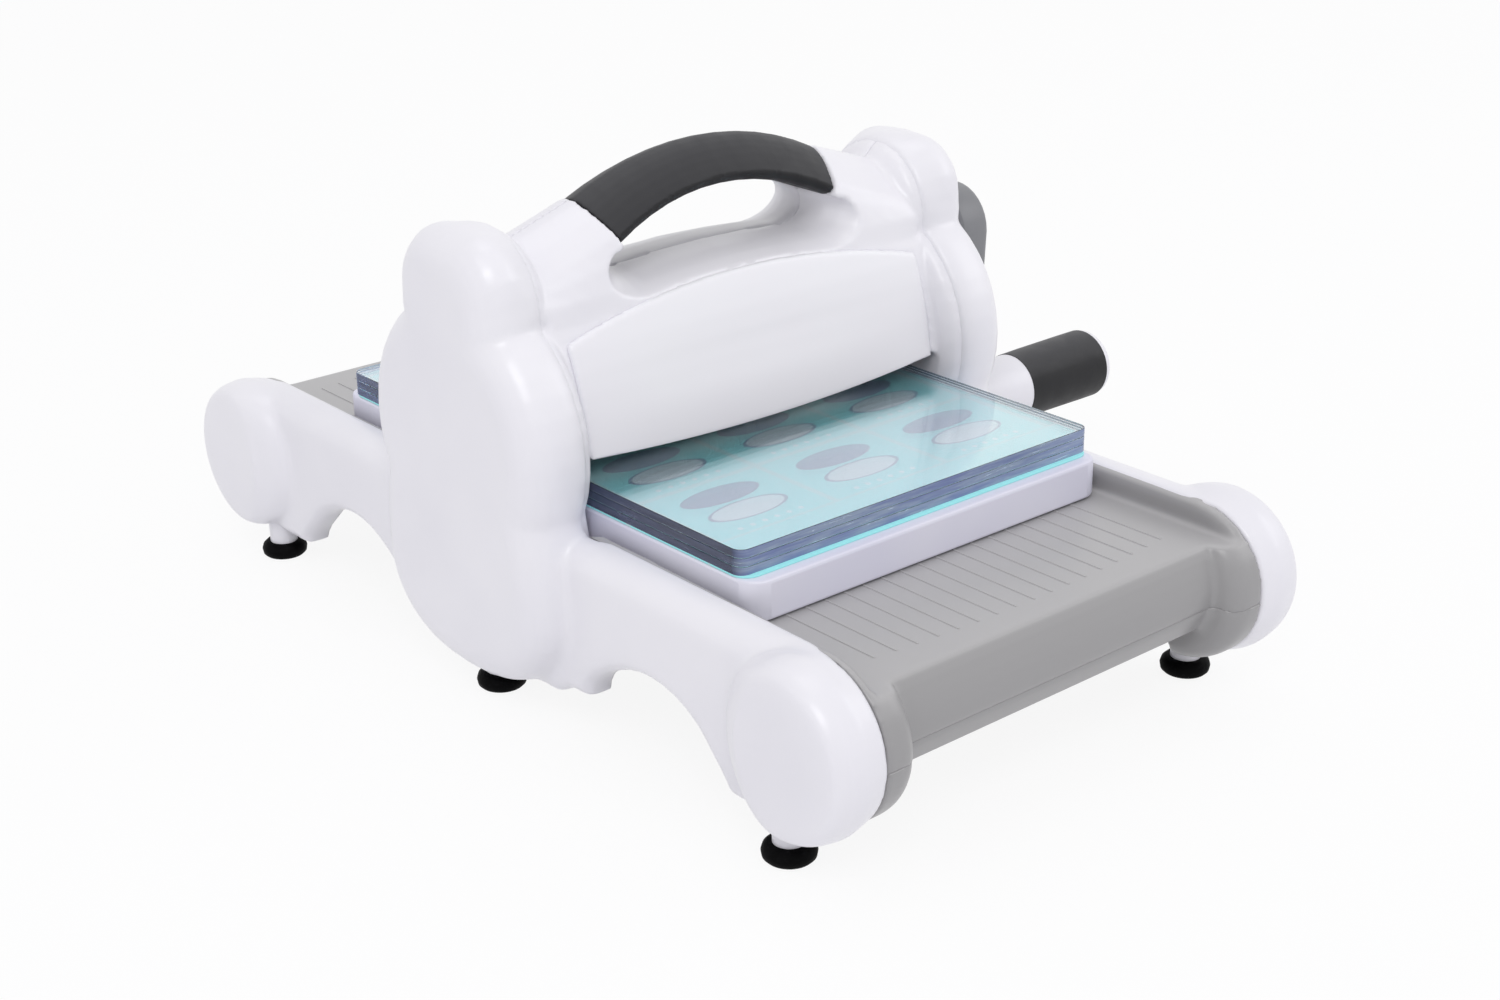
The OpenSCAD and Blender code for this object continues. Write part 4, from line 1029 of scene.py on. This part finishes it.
def lay_floor():
    """Plain pale floor whose own shade is mostly hidden from the camera."""
    deselect_all()
    bpy.ops.mesh.primitive_plane_add(size=FLOOR_SIZE, location=(0, 0, 0))
    floor = bpy.context.object
    floor.name = "floor"
    tree, shader, _ = new_material("pale_floor")
    feed(tree, shader, {"Base Color": linear(FLOOR_TONE), "Roughness": 0.7, "Specular IOR Level": 0.2})
    share = {0: seen_directly(tree), 1: FLOOR_GLOW}
    share = add_node(tree, "ShaderNodeMath", share, operation="MULTIPLY").outputs[0]
    glow = add_node(tree, "ShaderNodeEmission", {"Color": WHITE, "Strength": 1.0}).outputs[0]
    mix = add_node(tree, "ShaderNodeMixShader", {0: share, 1: shader.outputs[0], 2: glow})
    output = next(n for n in tree.nodes if n.type == "OUTPUT_MATERIAL")
    feed(tree, output, {"Surface": mix.outputs[0]})
    floor.data.materials.append(MATERIALS["pale_floor"])


def light_room(scene):
    """White surroundings that light the machine softly, and the lamps."""
    scene.world = bpy.data.worlds.new("studio")
    scene.world.use_nodes = True
    tree = scene.world.node_tree
    tree.nodes.clear()
    soft = {"Color": ROOM_TINT, "Strength": ROOM_LIGHT}
    soft = add_node(tree, "ShaderNodeBackground", soft).outputs[0]
    white = add_node(tree, "ShaderNodeBackground", {"Color": WHITE, "Strength": 1.0}).outputs[0]
    mix = add_node(tree, "ShaderNodeMixShader", {0: seen_directly(tree), 1: soft, 2: white})
    add_node(tree, "ShaderNodeOutputWorld", {"Surface": mix.outputs[0]})
    for name, place, size, power in LAMPS:
        lamp = bpy.data.lights.new(name, "AREA")
        lamp.shape = "DISK"
        lamp.size = size
        lamp.energy = power
        holder = bpy.data.objects.new(name, lamp)
        scene.collection.objects.link(holder)
        holder.location = place
        aim = Vector(LAMP_TARGET) - Vector(place)
        holder.rotation_euler = aim.to_track_quat("-Z", "Y").to_euler()


def set_camera(scene):
    """Camera that looks at its target from the fitted angles and distance."""
    azimuth, elevation, roll = (math.radians(v) for v in (VIEW_AZIMUTH, VIEW_ELEVATION, VIEW_ROLL))
    level = math.cos(elevation)
    back = Vector((math.sin(azimuth) * level, -math.cos(azimuth) * level, math.sin(elevation)))
    right = Vector((math.cos(azimuth), math.sin(azimuth), 0))
    up = back.cross(right)
    turned_right = math.cos(roll) * right + math.sin(roll) * up
    turned_up = -math.sin(roll) * right + math.cos(roll) * up
    camera = bpy.data.cameras.new("camera")
    camera.lens = VIEW_LENS
    camera.sensor_width = VIEW_SENSOR
    camera.clip_start = VIEW_NEAR
    holder = bpy.data.objects.new("camera", camera)
    scene.collection.objects.link(holder)
    place = (Vector(VIEW_TARGET) + back * VIEW_DISTANCE) * MM
    turn = Matrix((turned_right, turned_up, back)).transposed().to_4x4()
    holder.matrix_world = Matrix.Translation(place) @ turn
    scene.camera = holder


class DIEMACHINE_OT_stage(bpy.types.Operator):
    """Floor, soft lights, white surroundings and the camera"""

    bl_idname = "diemachine.stage"
    bl_label = "Stage"

    def execute(self, context):
        context.scene.view_settings.view_transform = "Standard"
        lay_floor()
        light_room(context.scene)
        set_camera(context.scene)
        return {"FINISHED"}


class DIEMACHINE_PT_panel(bpy.types.Panel):
    """Lists the steps that build the machine"""

    bl_idname = "DIEMACHINE_PT_panel"
    bl_label = "Die cutting machine"
    bl_space_type = "VIEW_3D"
    bl_region_type = "UI"
    bl_category = "Die machine"

    def draw(self, context):
        look = context.scene.die_machine
        for key in DieMachineLook.__annotations__:
            self.layout.prop(look, key)
        for step in STEPS:
            self.layout.operator(step.bl_idname)


STEPS = (
    DIEMACHINE_OT_stage,
    DIEMACHINE_OT_finishes,
    DIEMACHINE_OT_side_shells,
    DIEMACHINE_OT_housing,
    DIEMACHINE_OT_handle,
    DIEMACHINE_OT_trays,
    DIEMACHINE_OT_works,
    DIEMACHINE_OT_crank,
    DIEMACHINE_OT_feet,
    DIEMACHINE_OT_stack,
)
CLASSES = (DieMachineLook, *STEPS, DIEMACHINE_PT_panel)


def register():
    """Adds the settings, steps and panel to Blender."""
    for item in CLASSES:
        bpy.utils.register_class(item)
    bpy.types.Scene.die_machine = bpy.props.PointerProperty(type=DieMachineLook)


def unregister():
    """Takes the settings, steps and panel out of Blender."""
    del bpy.types.Scene.die_machine
    for item in reversed(CLASSES):
        bpy.utils.unregister_class(item)


def main():
    """Registers the add-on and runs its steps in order."""
    register()
    for step in STEPS:
        group, name = step.bl_idname.split(".")
        getattr(getattr(bpy.ops, group), name)()


if __name__ == "__main__":
    main()
